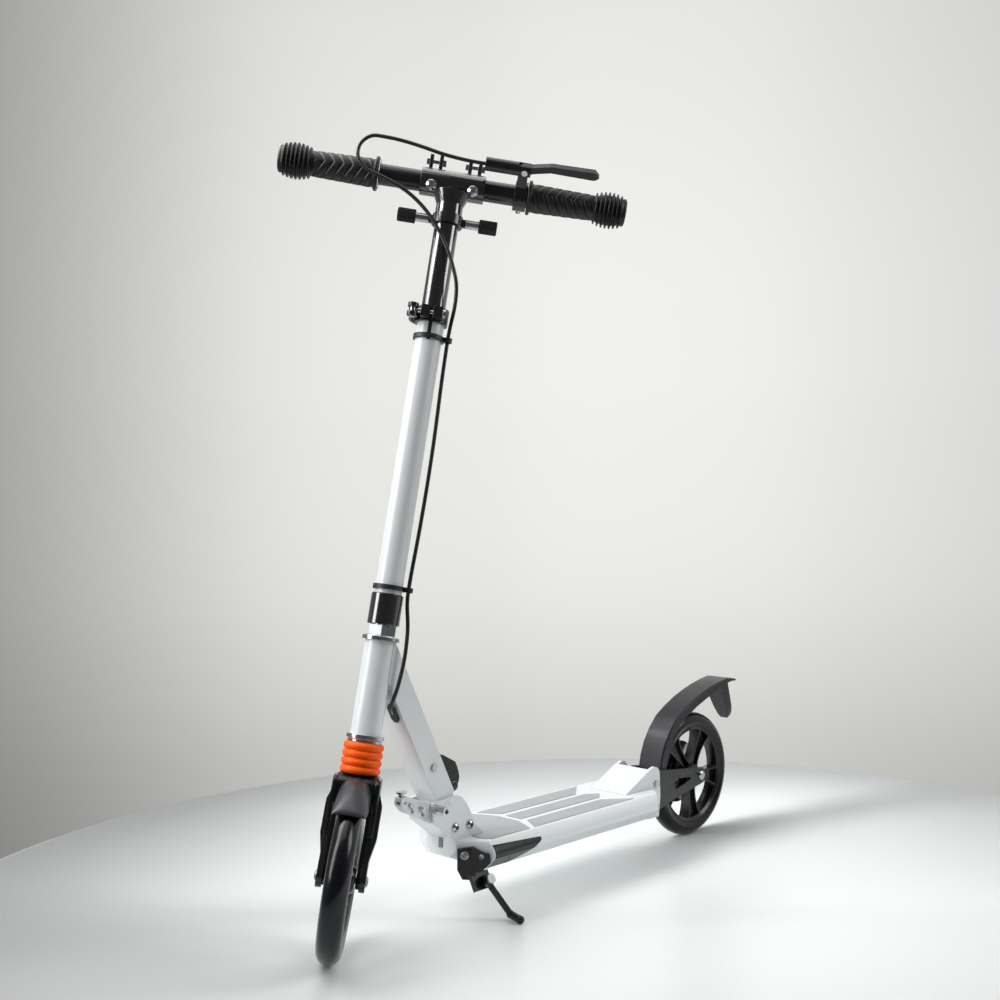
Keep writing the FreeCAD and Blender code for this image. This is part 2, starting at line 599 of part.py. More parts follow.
def build_tee():
    """The cross tube that holds both bar halves, with its socket and two pairs of ears."""
    cross = across("tee_cross", "tee_radius", "tee_half", "-tee_half")
    socket = cylinder("tee_socket", "inner_tube_radius+2", "tee_radius+24", ("0", "0", "-tee_radius-24"))
    gusset = turned("tee_gusset", [
        ("0", "-tee_radius-10"), ("inner_tube_radius+2", "-tee_radius-10"),
        ("inner_tube_radius+9", "-tee_radius+6"),
        ("0", "-tee_radius+6")])
    ears = []
    for side in (1, -1):
        for step in (1, -1):
            low = "%d*ear_spread+%d*(ear_gap+ear_thickness)/2-ear_thickness/2" % (side, step)
            ears.append(box("tee_ear_%d" % len(ears), "ear_width", "ear_thickness", "ear_height",
                            ("-ear_width/2", low, "tee_radius-4")))
    bore = across("tee_bore", "bar_radius+slide_play", "tee_half+20", "-tee_half-20")
    socket_bore = cylinder("tee_socket_bore", "inner_tube_radius+0.02", "60", ("0", "0", "-tee_radius-62"))
    holes = [cylinder("tee_hole_%d" % i, "4.05", "40", ("0", place, "0"), BUTTON_WAY)
             for i, place in enumerate(("button_place", "-button_place"))]
    screw = across("tee_screw_hole", "3.02", "90", "-90", "0", "tee_radius+ear_height-11")
    solid = fuse("tee_solid", [cross, socket, gusset] + ears)
    node(cut("tee_cut", solid, [bore, socket_bore, screw] + holes), "handlebar_tee", BAR)


def build_handlebar_bolts():
    """Clamp bolts through the ears, and the holder's two bright collars."""
    bolts = []
    reach = "(ear_gap/2+ear_thickness)"
    for side in (1, -1):
        name = "ear_bolt_%d" % len(bolts)
        level = "tee_radius+ear_height-11"
        shank = across(name + "_shank", "3", "%d*ear_spread+%s+3" % (side, reach),
            "%d*ear_spread-%s-3" % (side, reach),
                       "0", level)
        head = across(name + "_head", "5.5", "%d*ear_spread+%s+4" % (side, reach),
                      "%d*ear_spread+%s+0.02" % (side, reach), "0", level)
        nut = across(name + "_nut", "5", "%d*ear_spread-%s-0.02" % (side, reach),
                     "%d*ear_spread-%s-4" % (side, reach), "0", level)
        bolts.append(fuse(name, [shank, head, nut]))
    for side in (1, -1):
        near = "holder_ring+4"
        far = "holder_reach-holder_stub-0.02"
        ends = (far, near) if side > 0 else ("-(%s)" % near, "-(%s)" % far)
        bolts.append(across("holder_collar_%d" % side, "6", ends[0], ends[1], "0", "-holder_drop"))
    node(group("bar_bolts", bolts), "handlebar_bolts", BAR)


def build_grip_holder():
    """Ring on the inner tube with two stubs, on which loose grips are stored."""
    low = "-holder_drop-holder_height/2"
    band = ring("holder_band", "inner_tube_radius+0.05", "holder_ring", low, low + "+holder_height")
    arm = box("holder_arm", "6", "2*(holder_ring+3.98)", "10",
        ("-3", "-holder_ring-3.98", "-holder_drop-5"))
    bore = cylinder("holder_bore", "inner_tube_radius+0.05", "60", ("0", "0", "-holder_drop-30"))
    solid = fuse("holder_solid", [band, cut("holder_arms", arm, [bore])])
    stubs = [across("holder_stub_a", "holder_stub_radius", "holder_reach", "holder_reach-holder_stub",
        "0", "-holder_drop"),
             across("holder_stub_b", "holder_stub_radius", "-holder_reach+holder_stub", "-holder_reach",
             "0", "-holder_drop")]
    node(group("holder", [solid] + stubs), "grip_holder", BAR)


def build_button(label, side):
    """Domed push button whose pin keys into its bar half."""
    face = "tee_radius+0.3"
    body = turned(label, [
        ("0", "bar_radius-bar_wall+0.5"), ("2.4", "bar_radius-bar_wall+0.5"), ("2.4", "tee_radius-1.3"),
        ("4", "tee_radius-1.3"),
        ("4", face + "+button_travel"), ("button_radius", face + "+button_travel"),
        ("button_radius-0.5", face + "+button_travel+1.5"), ("button_radius-4", face + "+button_travel+4"),
        ("0", face + "+button_travel+4.6")])
    node(body, label, BAR.multiply(Placement(Vector(0, side * size("button_place"), 0), BUTTON_WAY)))


def build_bar(label, side):
    """One half of the bar, slotted at its inner end for the button's pin."""
    ends = ("bar_end", "bar_start") if side > 0 else ("-bar_start", "-bar_end")
    inner = ("bar_end+5", "bar_start-5") if side > 0 else ("-bar_start+5", "-bar_end-5")
    solid = across(label + "_rod", "bar_radius", *ends)
    bore = across(label + "_bore", "bar_radius-bar_wall", *inner)
    place = "bar_start-5" if side > 0 else "-button_place-2.7"
    slot = box(label + "_slot", "5.4", "button_place+2.7-bar_start+5", "bar_radius+2", ("-2.7", place, "2"))
    slot_turned = group(label + "_slot_turned", [slot])
    slot_turned.Placement = Placement(Vector(), BUTTON_WAY)
    node(cut(label + "_cut", solid, [bore, slot_turned]), label, BAR)


def build_grip(label, side):
    """Rubber grip: inner flange, waist and a bulb at the closed end."""
    body = turned(label, [
        ("bar_radius+0.02", "grip_start"), ("grip_flange", "grip_start"),
        ("grip_flange", "grip_start+grip_flange_length"), ("grip_radius",
        "grip_start+grip_flange_length+1"),
        ("grip_radius", "grip_end-grip_bulb_length-1"), ("grip_bulb-3", "grip_end-grip_bulb_length"),
        ("grip_bulb", "grip_end-grip_bulb_length/2-4"), ("grip_bulb", "grip_end-grip_bulb_length/2+4"),
        ("grip_bulb-3", "grip_end-1"), ("grip_bulb-7", "grip_end"), ("0", "grip_end"), ("0", "bar_end+0.1"),
        ("bar_radius+0.02", "bar_end+0.1")])
    turn = LYING if side > 0 else Rotation(Vector(1, 0, 0), 90)
    node(body, label, BAR.multiply(Placement(Vector(), turn)))


def build_perch():
    """Brake lever's carrier: a clamp on the bar, a neck, and the barrel over the bar."""
    band = across("perch_band", "perch_ring", "perch_start+perch_width", "perch_start")
    neck = box("perch_neck", "lever_offset", "13", "17", ("0", "perch_start+1", "-8.5"))
    barrel = across("perch_barrel", "barrel_radius", "perch_start+perch_width", "barrel_start",
        "lever_offset", "0")
    bore = across("perch_bore", "bar_radius+0.02", "150", "20")
    mouth = box("perch_mouth", "30", "30", "lever_thickness+0.6",
                ("lever_offset-12", "lever_pivot-8.5", "-lever_thickness/2-0.3"))
    pin = cylinder("perch_pin_hole", "2.52", "40", ("lever_offset", "lever_pivot", "-20"))
    cable = across("perch_cable_hole", "cable_radius+0.02", "barrel_start+12", "barrel_start-5",
        "lever_offset", "0")
    solid = fuse("perch_solid", [band, neck, barrel])
    node(cut("perch_cut", solid, [bore, mouth, pin, cable]), "brake_perch", LEVER)


def build_perch_bolts():
    """The lever's pivot pin and the perch's clamp screw."""
    pin = cylinder("perch_pin", "2.5", "2*barrel_radius+1", ("lever_offset", "lever_pivot",
        "-barrel_radius-0.5"))
    caps = [cylinder("perch_pin_cap_%d" % i, "4", "1.5", ("lever_offset", "lever_pivot", low))
            for i, low in enumerate(("barrel_radius+0.02", "-barrel_radius-1.52"))]
    screw = cylinder("perch_screw", "3.4", "5", ("-perch_ring-5.02", "perch_start+perch_width/2", "0"),
                     Rotation(Vector(0, 1, 0), 90))
    node(group("perch_bolt_set", [fuse("perch_pin_whole", [pin] + caps), screw]), "perch_bolts", LEVER)


def build_brake_lever():
    """Lever blade, which sweeps from its pivot boss to a flat paddle."""
    inner = "lever_offset-1.5"
    body = plate("lever_blade", [
        ("lever_offset-7", "lever_pivot-1"), (inner, "lever_pivot+12"), (inner + "+5", "lever_pivot+34"),
        (inner + "+4", "lever_tip-8", "-9"), (inner + "+9", "lever_tip"),
        (inner + "+lever_blade+6", "lever_tip-6"), (inner + "+lever_blade+5", "lever_pivot+34"),
        ("lever_offset+7", "lever_pivot+10"), ("lever_offset+7", "lever_pivot-1"),
        ("lever_offset+5", "lever_pivot-7"), ("lever_offset-5", "lever_pivot-7")],
        "lever_thickness", [("lever_offset", "lever_pivot", "2.55")], True, "XY_Plane")
    node(body, "brake_lever", LEVER)


build_tee()
build_handlebar_bolts()
build_grip_holder()
for hand, way in (("left", 1), ("right", -1)):
    build_button(hand + "_button", way)
    build_bar(hand + "_bar", way)
    build_grip(hand + "_grip", way)
build_perch()
build_perch_bolts()
build_brake_lever()


# ---- frame and fold -----------------------------------------------------------------

def build_down_tube():
    """Rectangular tube mitred against the head tube, with a mouth for the brake cable."""
    left = "-tube_back-tube_depth/2"
    solid = box("tube_solid", "tube_depth", "tube_width", "tube_length",
        (left, "-tube_width/2", "tube_start"))
    hollow = box("tube_hollow", "tube_depth-2*tube_wall", "tube_width-2*tube_wall", "tube_length+20",
                 (left + "+tube_wall", "-tube_width/2+tube_wall", "tube_start-10"))
    mitre = cylinder("tube_mitre", "head_radius+0.02", "400")
    mitre.Placement = TUBE.inverse().multiply(FRAME_COLUMN)
    beyond = doc.addObject("Part::Box", "tube_beyond")
    for letter, length in (("Length", 120), ("Width", 120), ("Height", 500)):
        setattr(beyond, letter, length)
    beyond.Placement = TUBE.inverse().multiply(FRAME_COLUMN).multiply(Placement(Vector(-6, -60, 0),
        Rotation()))
    above = box("tube_above", "120", "120", "200", ("0", "0", "0"))
    above.Placement = TUBE.inverse().multiply(FRAME_COLUMN).multiply(
        Placement(Vector(-60, -60, size("head_top") - 1), Rotation()))
    mouth = cylinder("tube_mouth", "cable_radius+1", "50")
    mouth.Placement = MOUTH
    pins = across("tube_pin_hole", "3.02", "40", "-40", "-tube_back", "screw_up")
    node(cut("tube_cut", solid, [hollow, mitre, beyond, above, mouth, pins]), "down_tube", TUBE)
    shank = across("tube_screw_shank", "3", "tube_width/2+0.5", "-tube_width/2-0.5", "-tube_back",
        "screw_up")
    heads = [across("tube_screw_head_a", "5", "tube_width/2+2.5", "tube_width/2+0.02", "-tube_back",
        "screw_up"),
             across("tube_screw_head_b", "5", "-tube_width/2-0.02", "-tube_width/2-2.5", "-tube_back",
             "screw_up")]
    node(fuse("tube_screw", [shank] + heads), "down_tube_screw", TUBE)
    pad_face = plate("grommet_pad", [
        ("3", "mouth_up-11"), ("9", "mouth_up-11"), ("12.5", "mouth_up-6"), ("12.5", "mouth_up+10"),
        ("9", "mouth_up+15"), ("3", "mouth_up+15"), ("-0.5", "mouth_up+10"), ("-0.5", "mouth_up-6")],
        "3", (), False, "YZ_Plane", "tube_depth/2-tube_back+0.02")
    bore = cylinder("grommet_bore", "cable_radius+0.05", "50")
    bore.Placement = MOUTH
    node(cut("grommet_cut", pad_face, [bore]), "cable_grommet", TUBE)


def build_fold_block():
    """Casting at the tube's foot: hinge barrel, a plug in the tube, and lugs for the fold lever."""
    back = "-tube_back-tube_depth/2"
    block = plate("fold_casting", [
        (back, "tube_start-0.02"), (back, "tube_start-4"), ("-barrel_fold", "-0.5", "barrel_fold+0.01"),
        ("barrel_fold", "-0.5"), ("tube_depth/2-tube_back", "tube_start-4"),
        ("tube_depth/2-tube_back", "tube_start-0.02")],
        "2*(cheek_inner-fit_gap)", [("0", "0", "fold_axle_radius+slide_play")])
    plug = box("fold_plug", "tube_depth-2*tube_wall-0.1", "tube_width-2*tube_wall-0.1", "24",
               (back + "+tube_wall+0.05", "-tube_width/2+tube_wall+0.05", "tube_start-1"))
    way = box("fold_cable_way", "20.5", "9", "90", ("-tube_back-24.5", "-4.5", "-30"))
    lug = [(back + "+4", "5"), (back + "+4", "tube_start-0.1"), (back + "-0.1", "tube_start-0.1"),
           (back + "-0.1", "15"), (back + "-6.5", "15", "6.01"), (back + "-6.5", "3")]
    lugs = plate("fold_lugs", lug, "lever_width+7")
    between = box("fold_lug_gap", "30", "lever_width+1", "40", (back + "-24", "-lever_width/2-0.5", "-10"))
    pin = across("fold_lever_pin", "2.5", "lever_width/2+3", "-lever_width/2-3", back + "-6.5", "9")
    shaped = cut("fold_cut", fuse("fold_solid", [block, plug]), [way])
    node(fuse("fold_whole", [shaped, cut("fold_lug_pair", lugs, [between]), pin]), "fold_block", TUBE)


def build_hinge_bracket():
    """White casting on the deck's front: two cheeks, and the floor and block between them."""
    cheeks = plate("bracket_cheeks", [
        ("fold_ahead-66", "deck_top+0.02"), ("fold_ahead-66", "deck_top+2", "60"),
        ("fold_ahead-46", "fold_height-20", "-70"), ("fold_ahead-33", "fold_height+2", "-23"),
        ("fold_ahead-11", "fold_height+11"), ("fold_ahead+22", "fold_height+8", "-7"),
        ("fold_ahead+27", "fold_height+1"), ("fold_ahead+25", "fold_height-14", "-25"),
        ("fold_ahead+21", "fold_height-20"), ("fold_ahead+1", "fold_height-36"),
        ("fold_ahead-12", "deck_top+0.02")],
        "2*(cheek_inner+cheek_thickness)", [("fold_ahead", "fold_height", "fold_axle_radius+0.02")])
    gap = box("bracket_gap", "160", "2*cheek_inner", "80", ("fold_ahead-100", "-cheek_inner",
        "fold_height-18"))
    pocket_behind = box("bracket_pocket", "84", "2*cheek_inner", "80",
                        ("fold_ahead-102", "-cheek_inner", "deck_top+3"))
    way = box("bracket_cable_way", "18", "9", "60", ("fold_ahead-31", "-4.5", "deck_top-10"))
    holes = [across("bracket_hole_%d" % i, "4.02", "60", "-60", ahead, up) for i,
        (ahead, up) in enumerate(BOLT_PLACES)]
    holes.append(across("bracket_latch_hole", "latch_bolt+0.02", "60", "-60", *LATCH_PLACE))
    node(cut("bracket_cut", cheeks, [gap, pocket_behind, way] + holes), "hinge_bracket", UPRIGHT)


BOLT_PLACES = (("fold_ahead-15", "fold_height-30"), ("fold_ahead-42", "fold_height-31"))
LATCH_PLACE = ("fold_ahead+22.5", "fold_height+1")
LATCH_PINS = (("fold_ahead+61", "fold_height+11.5"), ("fold_ahead+43", "fold_height+4"))
KNOB_PLACE = ("fold_ahead+70", "fold_height+22")


def build_hinge_bolts():
    """Fold axle, bracket bolts, latch barrel, pins and spool; the rear bolt is two short ones, clear of the lever."""
    face = "cheek_inner+cheek_thickness"
    bolts = []
    for i, (ahead, up) in enumerate(BOLT_PLACES):
        name = "bracket_bolt_%d" % i
        head = socket_head(name + "_head", "6.3", "4", (ahead, face + "+0.02", up), LYING)
        nut = across(name + "_nut", "6.5", "-(%s)-0.02" % face, "-(%s)-5" % face, ahead, up)
        if i == 0:
            shank = across(name + "_shank", "4", face + "+0.5", "-(%s)-1" % face, ahead, up)
            bolts.append(fuse(name, [shank, head, nut]))
            continue
        inner, tip = "cheek_inner-0.02", "cheek_inner-3.5"
        left = [across(name + "_left", "4", face + "+0.5", tip, ahead, up),
                across(name + "_left_nut", "6", inner, tip, ahead, up), head]
        right = [across(name + "_right", "4", "-(%s)" % tip, "-(%s)-1" % face, ahead, up),
                 across(name + "_right_nut", "6", "-(%s)" % tip, "-(%s)" % inner, ahead, up), nut]
        bolts += [fuse(name + "_left_whole", left), fuse(name + "_right_whole", right)]
    bolts.append(across("fold_axle", "fold_axle_radius", face, "-(%s)" % face, "fold_ahead", "fold_height"))
    shank = across("latch_shank", "latch_bolt", face + "+1", "-(%s)-1" % face, *LATCH_PLACE)
    barrel = across("latch_barrel_body", "latch_barrel", "latch_reach", face + "+0.02", *LATCH_PLACE)
    socket = across("latch_barrel_socket", "latch_barrel-2.5", "latch_reach+1", "latch_reach-3",
        *LATCH_PLACE)
    nut = across("latch_nut", "6", "-(%s)-0.02" % face, "-(%s)-5" % face, *LATCH_PLACE)
    bolts.append(fuse("latch_bolt_whole", [shank, cut("latch_barrel_cut", barrel, [socket]), nut]))
    for i, (ahead, up) in enumerate(LATCH_PINS):
        bolts.append(across("latch_pin_%d" % i, "2.6", "cheek_inner+3", "cheek_inner-latch_thickness-2",
            ahead, up))
    spool = turned("latch_spool", [
        ("0", "-7.5"), ("6.5", "-7.5"), ("6.5", "-5"), ("3.4", "-5"), ("3.4", "5"), ("6.5", "5"),
        ("6.5", "7.5"),
        ("0", "7.5")])
    middle = "cheek_inner-fit_gap-latch_thickness/2"
    bolts.append(move(spool, (KNOB_PLACE[0], middle, KNOB_PLACE[1])))
    node(group("hinge_fasteners", bolts), "hinge_bolts", UPRIGHT)


def build_latch_plate():
    """Plate ahead of the hinge, hung on the latch bolt, with a slot under each of its pins."""
    left = "cheek_inner-fit_gap"
    outer = plate("latch_body", [
        ("fold_ahead+17", "fold_height+7"), ("fold_ahead+17", "fold_height-12"),
        ("fold_ahead+25", "fold_height-17.5"),
        ("fold_ahead+37", "fold_height-13"), ("fold_ahead+68", "fold_height+3"),
        ("fold_ahead+76", "fold_height+13"),
        ("fold_ahead+75.5", "fold_height+22"), ("fold_ahead+66", "fold_height+23.5"),
        ("fold_ahead+24", "fold_height+7.5")],
        "latch_thickness",
        [(ahead, up, "2.62") for ahead, up in LATCH_PINS] + [LATCH_PLACE + ("latch_bolt+0.02",)],
        False, "XZ_Plane", "-(%s)" % left)
    slots = []
    for i, (ahead, up) in enumerate(LATCH_PINS):
        slot = box("latch_slot_%d" % i, "4.4", "4", "12", (ahead + "+2", left + "-3", up + "-1"),
                   Rotation(Vector(0, 1, 0), 205))
        slots.append(slot)
    middle = left + "-latch_thickness/2"
    room = cylinder("latch_spool_room", "7", "2.8", (KNOB_PLACE[0], middle, KNOB_PLACE[1] + "-7.7"))
    hole = cylinder("latch_spool_hole", "3.42", "20", (KNOB_PLACE[0], middle, KNOB_PLACE[1] + "-10"))
    node(cut("latch_cut", outer, slots + [room, hole]), "latch_plate", UPRIGHT)


def build_fold_lever():
    """Lever on the fold block's pin, lying along the back of the down tube."""
    body = plate("fold_lever_blade", [
        ("6", "0"), ("5.5", "12"), ("3", "44"), ("-3", "47"), ("-17.5", "26", "60"), ("-15", "4", "30"),
        ("-6", "-5", "8")], "lever_width", [("0", "0", "2.55")])
    node(body, "fold_lever", TUBE.multiply(Placement(CATCH, Rotation())))


build_down_tube()
build_fold_block()
build_hinge_bracket()
build_hinge_bolts()
build_latch_plate()
build_fold_lever()


# ---- deck ---------------------------------------------------------------------------

def deck_section(body, name, lift):
    """The deck's outline across: flat top and bottom, rounded upper sides, and slanting lower ones."""
    low = "deck_top-deck_depth"
    return outline(body, name, "YZ_Plane", [
        ("-deck_half_bottom", low), ("deck_half_bottom", low), ("deck_half-1", "deck_top-21"),
        ("deck_half", "deck_top-15", "26"), ("deck_half_top", "deck_top"),
        ("-deck_half_top", "deck_top", "26"),
        ("-deck_half", "deck_top-15"), ("-deck_half+1", "deck_top-21")], (), lift)


def build_deck():
    """Hollow extruded deck, cut slanting at its rear corners, with a bow that narrows in front."""
    body = new_body("deck_extrusion")
    front = "deck_front-bow_length"
    low = "deck_top-deck_depth"
    pad(body, deck_section(body, "deck_profile", "deck_rear"), front + "-deck_rear")
    for i, (right, left) in enumerate((("-24", "24"), ("28", "deck_half_bottom-4"),
            ("-deck_half_bottom+4", "-28"))):
        start = "deck_rear-5" if i == 0 else "deck_rear+deck_taper_rear"
        hollow = outline(body, "deck_hollow_%d" % i, "YZ_Plane", [
            (right, low + "+deck_wall"), (left, low + "+deck_wall"), (left, "deck_top-deck_wall"),
            (right, "deck_top-deck_wall")], (), start)
        pocket(body, hollow, "deck_front-36-(%s)" % start, False, True)
    bow = new_body("deck_bow")
    tip = outline(bow, "bow_tip", "YZ_Plane", [
        ("-bow_half+12", "deck_top-bow_depth"), ("bow_half-12", "deck_top-bow_depth"),
        ("bow_half-2", "deck_top-bow_depth+7"), ("bow_half", "deck_top-bow_depth+12", "12"),
        ("bow_half-4", "deck_top"), ("-bow_half+4", "deck_top", "12"),
        ("-bow_half", "deck_top-bow_depth+12"),
        ("-bow_half+2", "deck_top-bow_depth+7")], (), "deck_front")
    narrowing = bow.newObject("PartDesign::AdditiveLoft", "bow_loft")
    narrowing.Profile = deck_section(bow, "bow_root", front)
    narrowing.Sections = [tip]
    narrowing.Ruled = True
    corners = []
    for side in ("", "-"):
        corners.append(plate("deck_corner_%d" % len(corners), [
            ("deck_rear", side + "deck_end_half"), ("deck_rear+deck_taper_rear", side + "deck_half"),
            ("deck_rear+deck_taper_rear", side + "(deck_half+20)"),
            ("deck_rear-1", side + "(deck_half+20)"),
            ("deck_rear-1", side + "deck_end_half")], "600", (), True, "XY_Plane"))
    wedges = [side_wedge("deck_recess_%d" % i, "0", lift) for i, lift in enumerate(INSERT_LIFTS)]
    way = box("deck_cable_way", "74", "9", "40", ("deck_front-55", "-4.5", "deck_top-14"))
    way_roof = box("deck_way_roof", "36", "11", "20", ("deck_front-56", "-5.5", "deck_top-4"))
    holes = [cylinder("deck_bracket_hole_%d" % i, "3.02", "20", (ahead, left, "deck_top-12"))
             for i, (ahead, left) in enumerate(BRACKET_SCREWS)]
    cable_way = cut("deck_way_shape", way, [way_roof])
    whole = fuse("deck_whole", [body, bow])
    node(cut("deck_cut", whole, corners + wedges + [cable_way] + holes), "deck", UPRIGHT)


BRACKET_SCREWS = (("fold_ahead-56", "14"), ("fold_ahead-56", "-14"), ("deck_rear+26", "22"),
    ("deck_rear+26", "-22"))
INSERT_LIFTS = ("-deck_half_bottom-34", "deck_half_bottom")


def side_wedge(name, play, lift):
    """The long wedge of a deck's side insert, padded towards the right from its lift."""
    front, back = "deck_front-bow_length-1.5-%s" % play, "deck_front-bow_length-insert_length+%s" % play
    return plate(name, [
        (front, "deck_top-deck_depth-5"), (front, "deck_top-4-%s" % play),
        (back, "deck_top-9-%s" % play, "3"),
        (back, "deck_top-13+%s" % play, "160")], "34", (), False, "XZ_Plane", lift)


def build_side_inserts():
    """Black inserts in the deck's sides, which keep the deck's own section."""
    inserts = []
    for i, lift in enumerate(INSERT_LIFTS):
        body = new_body("insert_bar_%d" % i)
        pad(body, deck_section(body, "insert_profile_%d" % i, "deck_front-160"), "150")
        common = doc.addObject("Part::MultiCommon", "insert_%d" % i)
        lift += "+0.02" if i else "-0.02"
        common.Shapes = [body, side_wedge("insert_wedge_%d" % i, "0.02", lift)]
        inserts.append(common)
    node(group("inserts", inserts), "side_inserts", UPRIGHT)


def build_grip_tape():
    """Grip sheets: a wide one at the front, three long ones behind it."""
    front = "fold_ahead-67"
    back = "deck_rear+66"
    side = "cheek_inner+cheek_thickness+1"
    sheets = [plate("tape_front", [
        (front, "-(%s)" % side), (front, side), (front + "+22", side), (front + "+24", "40"),
        (front + "+12", "deck_half_top-5"), (front + "-60", "deck_half_top-5"), (front + "-76", "20"),
        (front + "-76", "-20"), (front + "-60", "-deck_half_top+5"), (front + "+12", "-deck_half_top+5"),
        (front + "+24", "-40"), (front + "+22", "-(%s)" % side)],
        "tape_thickness", (), False, "XY_Plane", "deck_top")]
    for side in ("", "-"):
        sheets.append(plate("tape_side" + str(len(sheets)), [
            (front + "-70", side + "(deck_half_top-5)"), (front + "-88", side + "24"),
            (back + "+40", side + "24"),
            (back, side + "(deck_half_top-5)")], "tape_thickness", (), False, "XY_Plane", "deck_top"))
    sheets.append(plate("tape_middle", [
        (front + "-86", "-14"), (front + "-86", "14"), (back + "+30", "14"), (back + "+12", "0"),
        (back + "+30", "-14")], "tape_thickness", (), False, "XY_Plane", "deck_top"))
    node(group("tape", sheets), "grip_tape", UPRIGHT)


def build_kickstand():
    """The kickstand with its turned-out foot, its bracket on the bow's left side, and their bolts."""
    slope = Vector(-size("bow_length"), size("deck_half-bow_half"), 0)
    corner = UPRIGHT.multiply(Placement(Vector(size("deck_front"), size("bow_half"), 0),
                                        Rotation(Vector(0, 0, 1),
                                        math.degrees(math.atan2(slope.y, slope.x)))))
    local = STAND.inverse().multiply(corner)
    low = "deck_top-deck_depth"

    def placed(piece, x, y, z, turn=Rotation()):
        piece.Placement = local.multiply(Placement(Vector(x, y, z), turn))
        return piece

    wall = plate("stand_wall", [
        ("3", low + "+27"), ("3", low), ("10", low + "-12"), ("25", low + "-12"), ("27", low + "-2"),
        ("36", low),
        ("47", low + "+11"), ("46", low + "+23", "-40"), ("24", low + "+31")], "5", (), False, "XZ_Plane",
        "0.1")
    wall.Placement = local
    square = placed(box("stand_square", "15", "2.5", "16", ("0", "0", "0")), 6, -7.5, size(low + "+12"))
    arm = box("stand_arm", "32", "23", "5.5", ("-12", "-14", "-9.5"))
    hole = cylinder("stand_arm_hole", "4.02", "40", ("0", "0", "-25"))
    outward = Rotation(Vector(1, 0, 0), 90)
    solid = cut("stand_bracket_cut", fuse("stand_bracket_solid", [wall, square, arm]), [hole])
    node(solid, "kickstand_bracket", STAND)

    pin = cylinder("stand_pin", "4", "18.5", ("0", "0", "-12"))
    head = cylinder("stand_pin_head", "6.5", "4", ("0", "0", "6.3"))
    nut = cylinder("stand_pin_nut", "6.5", "4", ("0", "0", "-13.6"))
    screws = []
    for i, (along, face, up, radius) in enumerate(((13.5, 7.52, 20, "5.5"), (35, 5.12, 19, "3.6"))):
        screw = socket_head("stand_screw_%d" % i, radius, "3.2", ("0", "0", "0"))
        screws.append(placed(screw, along, -face, size(low) + up, outward))
    node(group("stand_bolts", [fuse("stand_pin_whole", [pin, head, nut])] + screws), "kickstand_bolts",
        STAND)

    rise_way = UPRIGHT.Rotation.multVec(Vector(0, 0, 1)).z
    ends = []
    for back, out, radius in (("foot_back", "foot_out", "foot_radius"),
                              ("foot_back+0.2*foot_length", "foot_out-foot_length", "foot_radius+2")):
        spot = Vector(size("deck_front-(%s)" % back), size("bow_half+(%s)" % out), 0)
        spot.z = (size(radius) - UPRIGHT.multVec(spot).z) / rise_way
        ends.append(STAND.inverse().multVec(UPRIGHT.multVec(spot)))
    tip, knee = ends
    boss = cylinder("stand_boss", "8", "9.7", ("0", "0", "-3.7"))
    rod = cylinder("stand_rod_part", "stand_rod", "%.6f" % (knee.Length - 4))
    rod.Placement = Placement(Vector(knee).normalize() * 4, Rotation(Vector(0, 0, 1), knee))
    foot = cylinder("stand_foot_part", "foot_radius-0.3", "%.6f" % (tip - knee).Length)
    foot.Placement = Placement(knee, Rotation(Vector(0, 0, 1), tip - knee))
    balls = []
    for spot, radius in ((tip, "foot_radius"), (knee, "foot_radius")):
        ball = doc.addObject("Part::Sphere", "stand_ball_%d" % len(balls))
        ball.setExpression("Radius", bound(radius))
        ball.Placement = Placement(spot, Rotation())
        balls.append(ball)
    bore = cylinder("stand_bore", "4.05", "30", ("0", "0", "-12"))
    under = cylinder("stand_under", "26", "20", ("0", "0", "-23.7"))
    over = cylinder("stand_over", "9.5", "20", ("0", "0", "6"))
    node(cut("stand_cut", fuse("stand_solid", [boss, rod, foot] + balls), [bore, under, over]),
        "kickstand", STAND)


build_deck()
build_side_inserts()
build_grip_tape()
build_kickstand()


# ---- rear end -----------------------------------------------------------------------

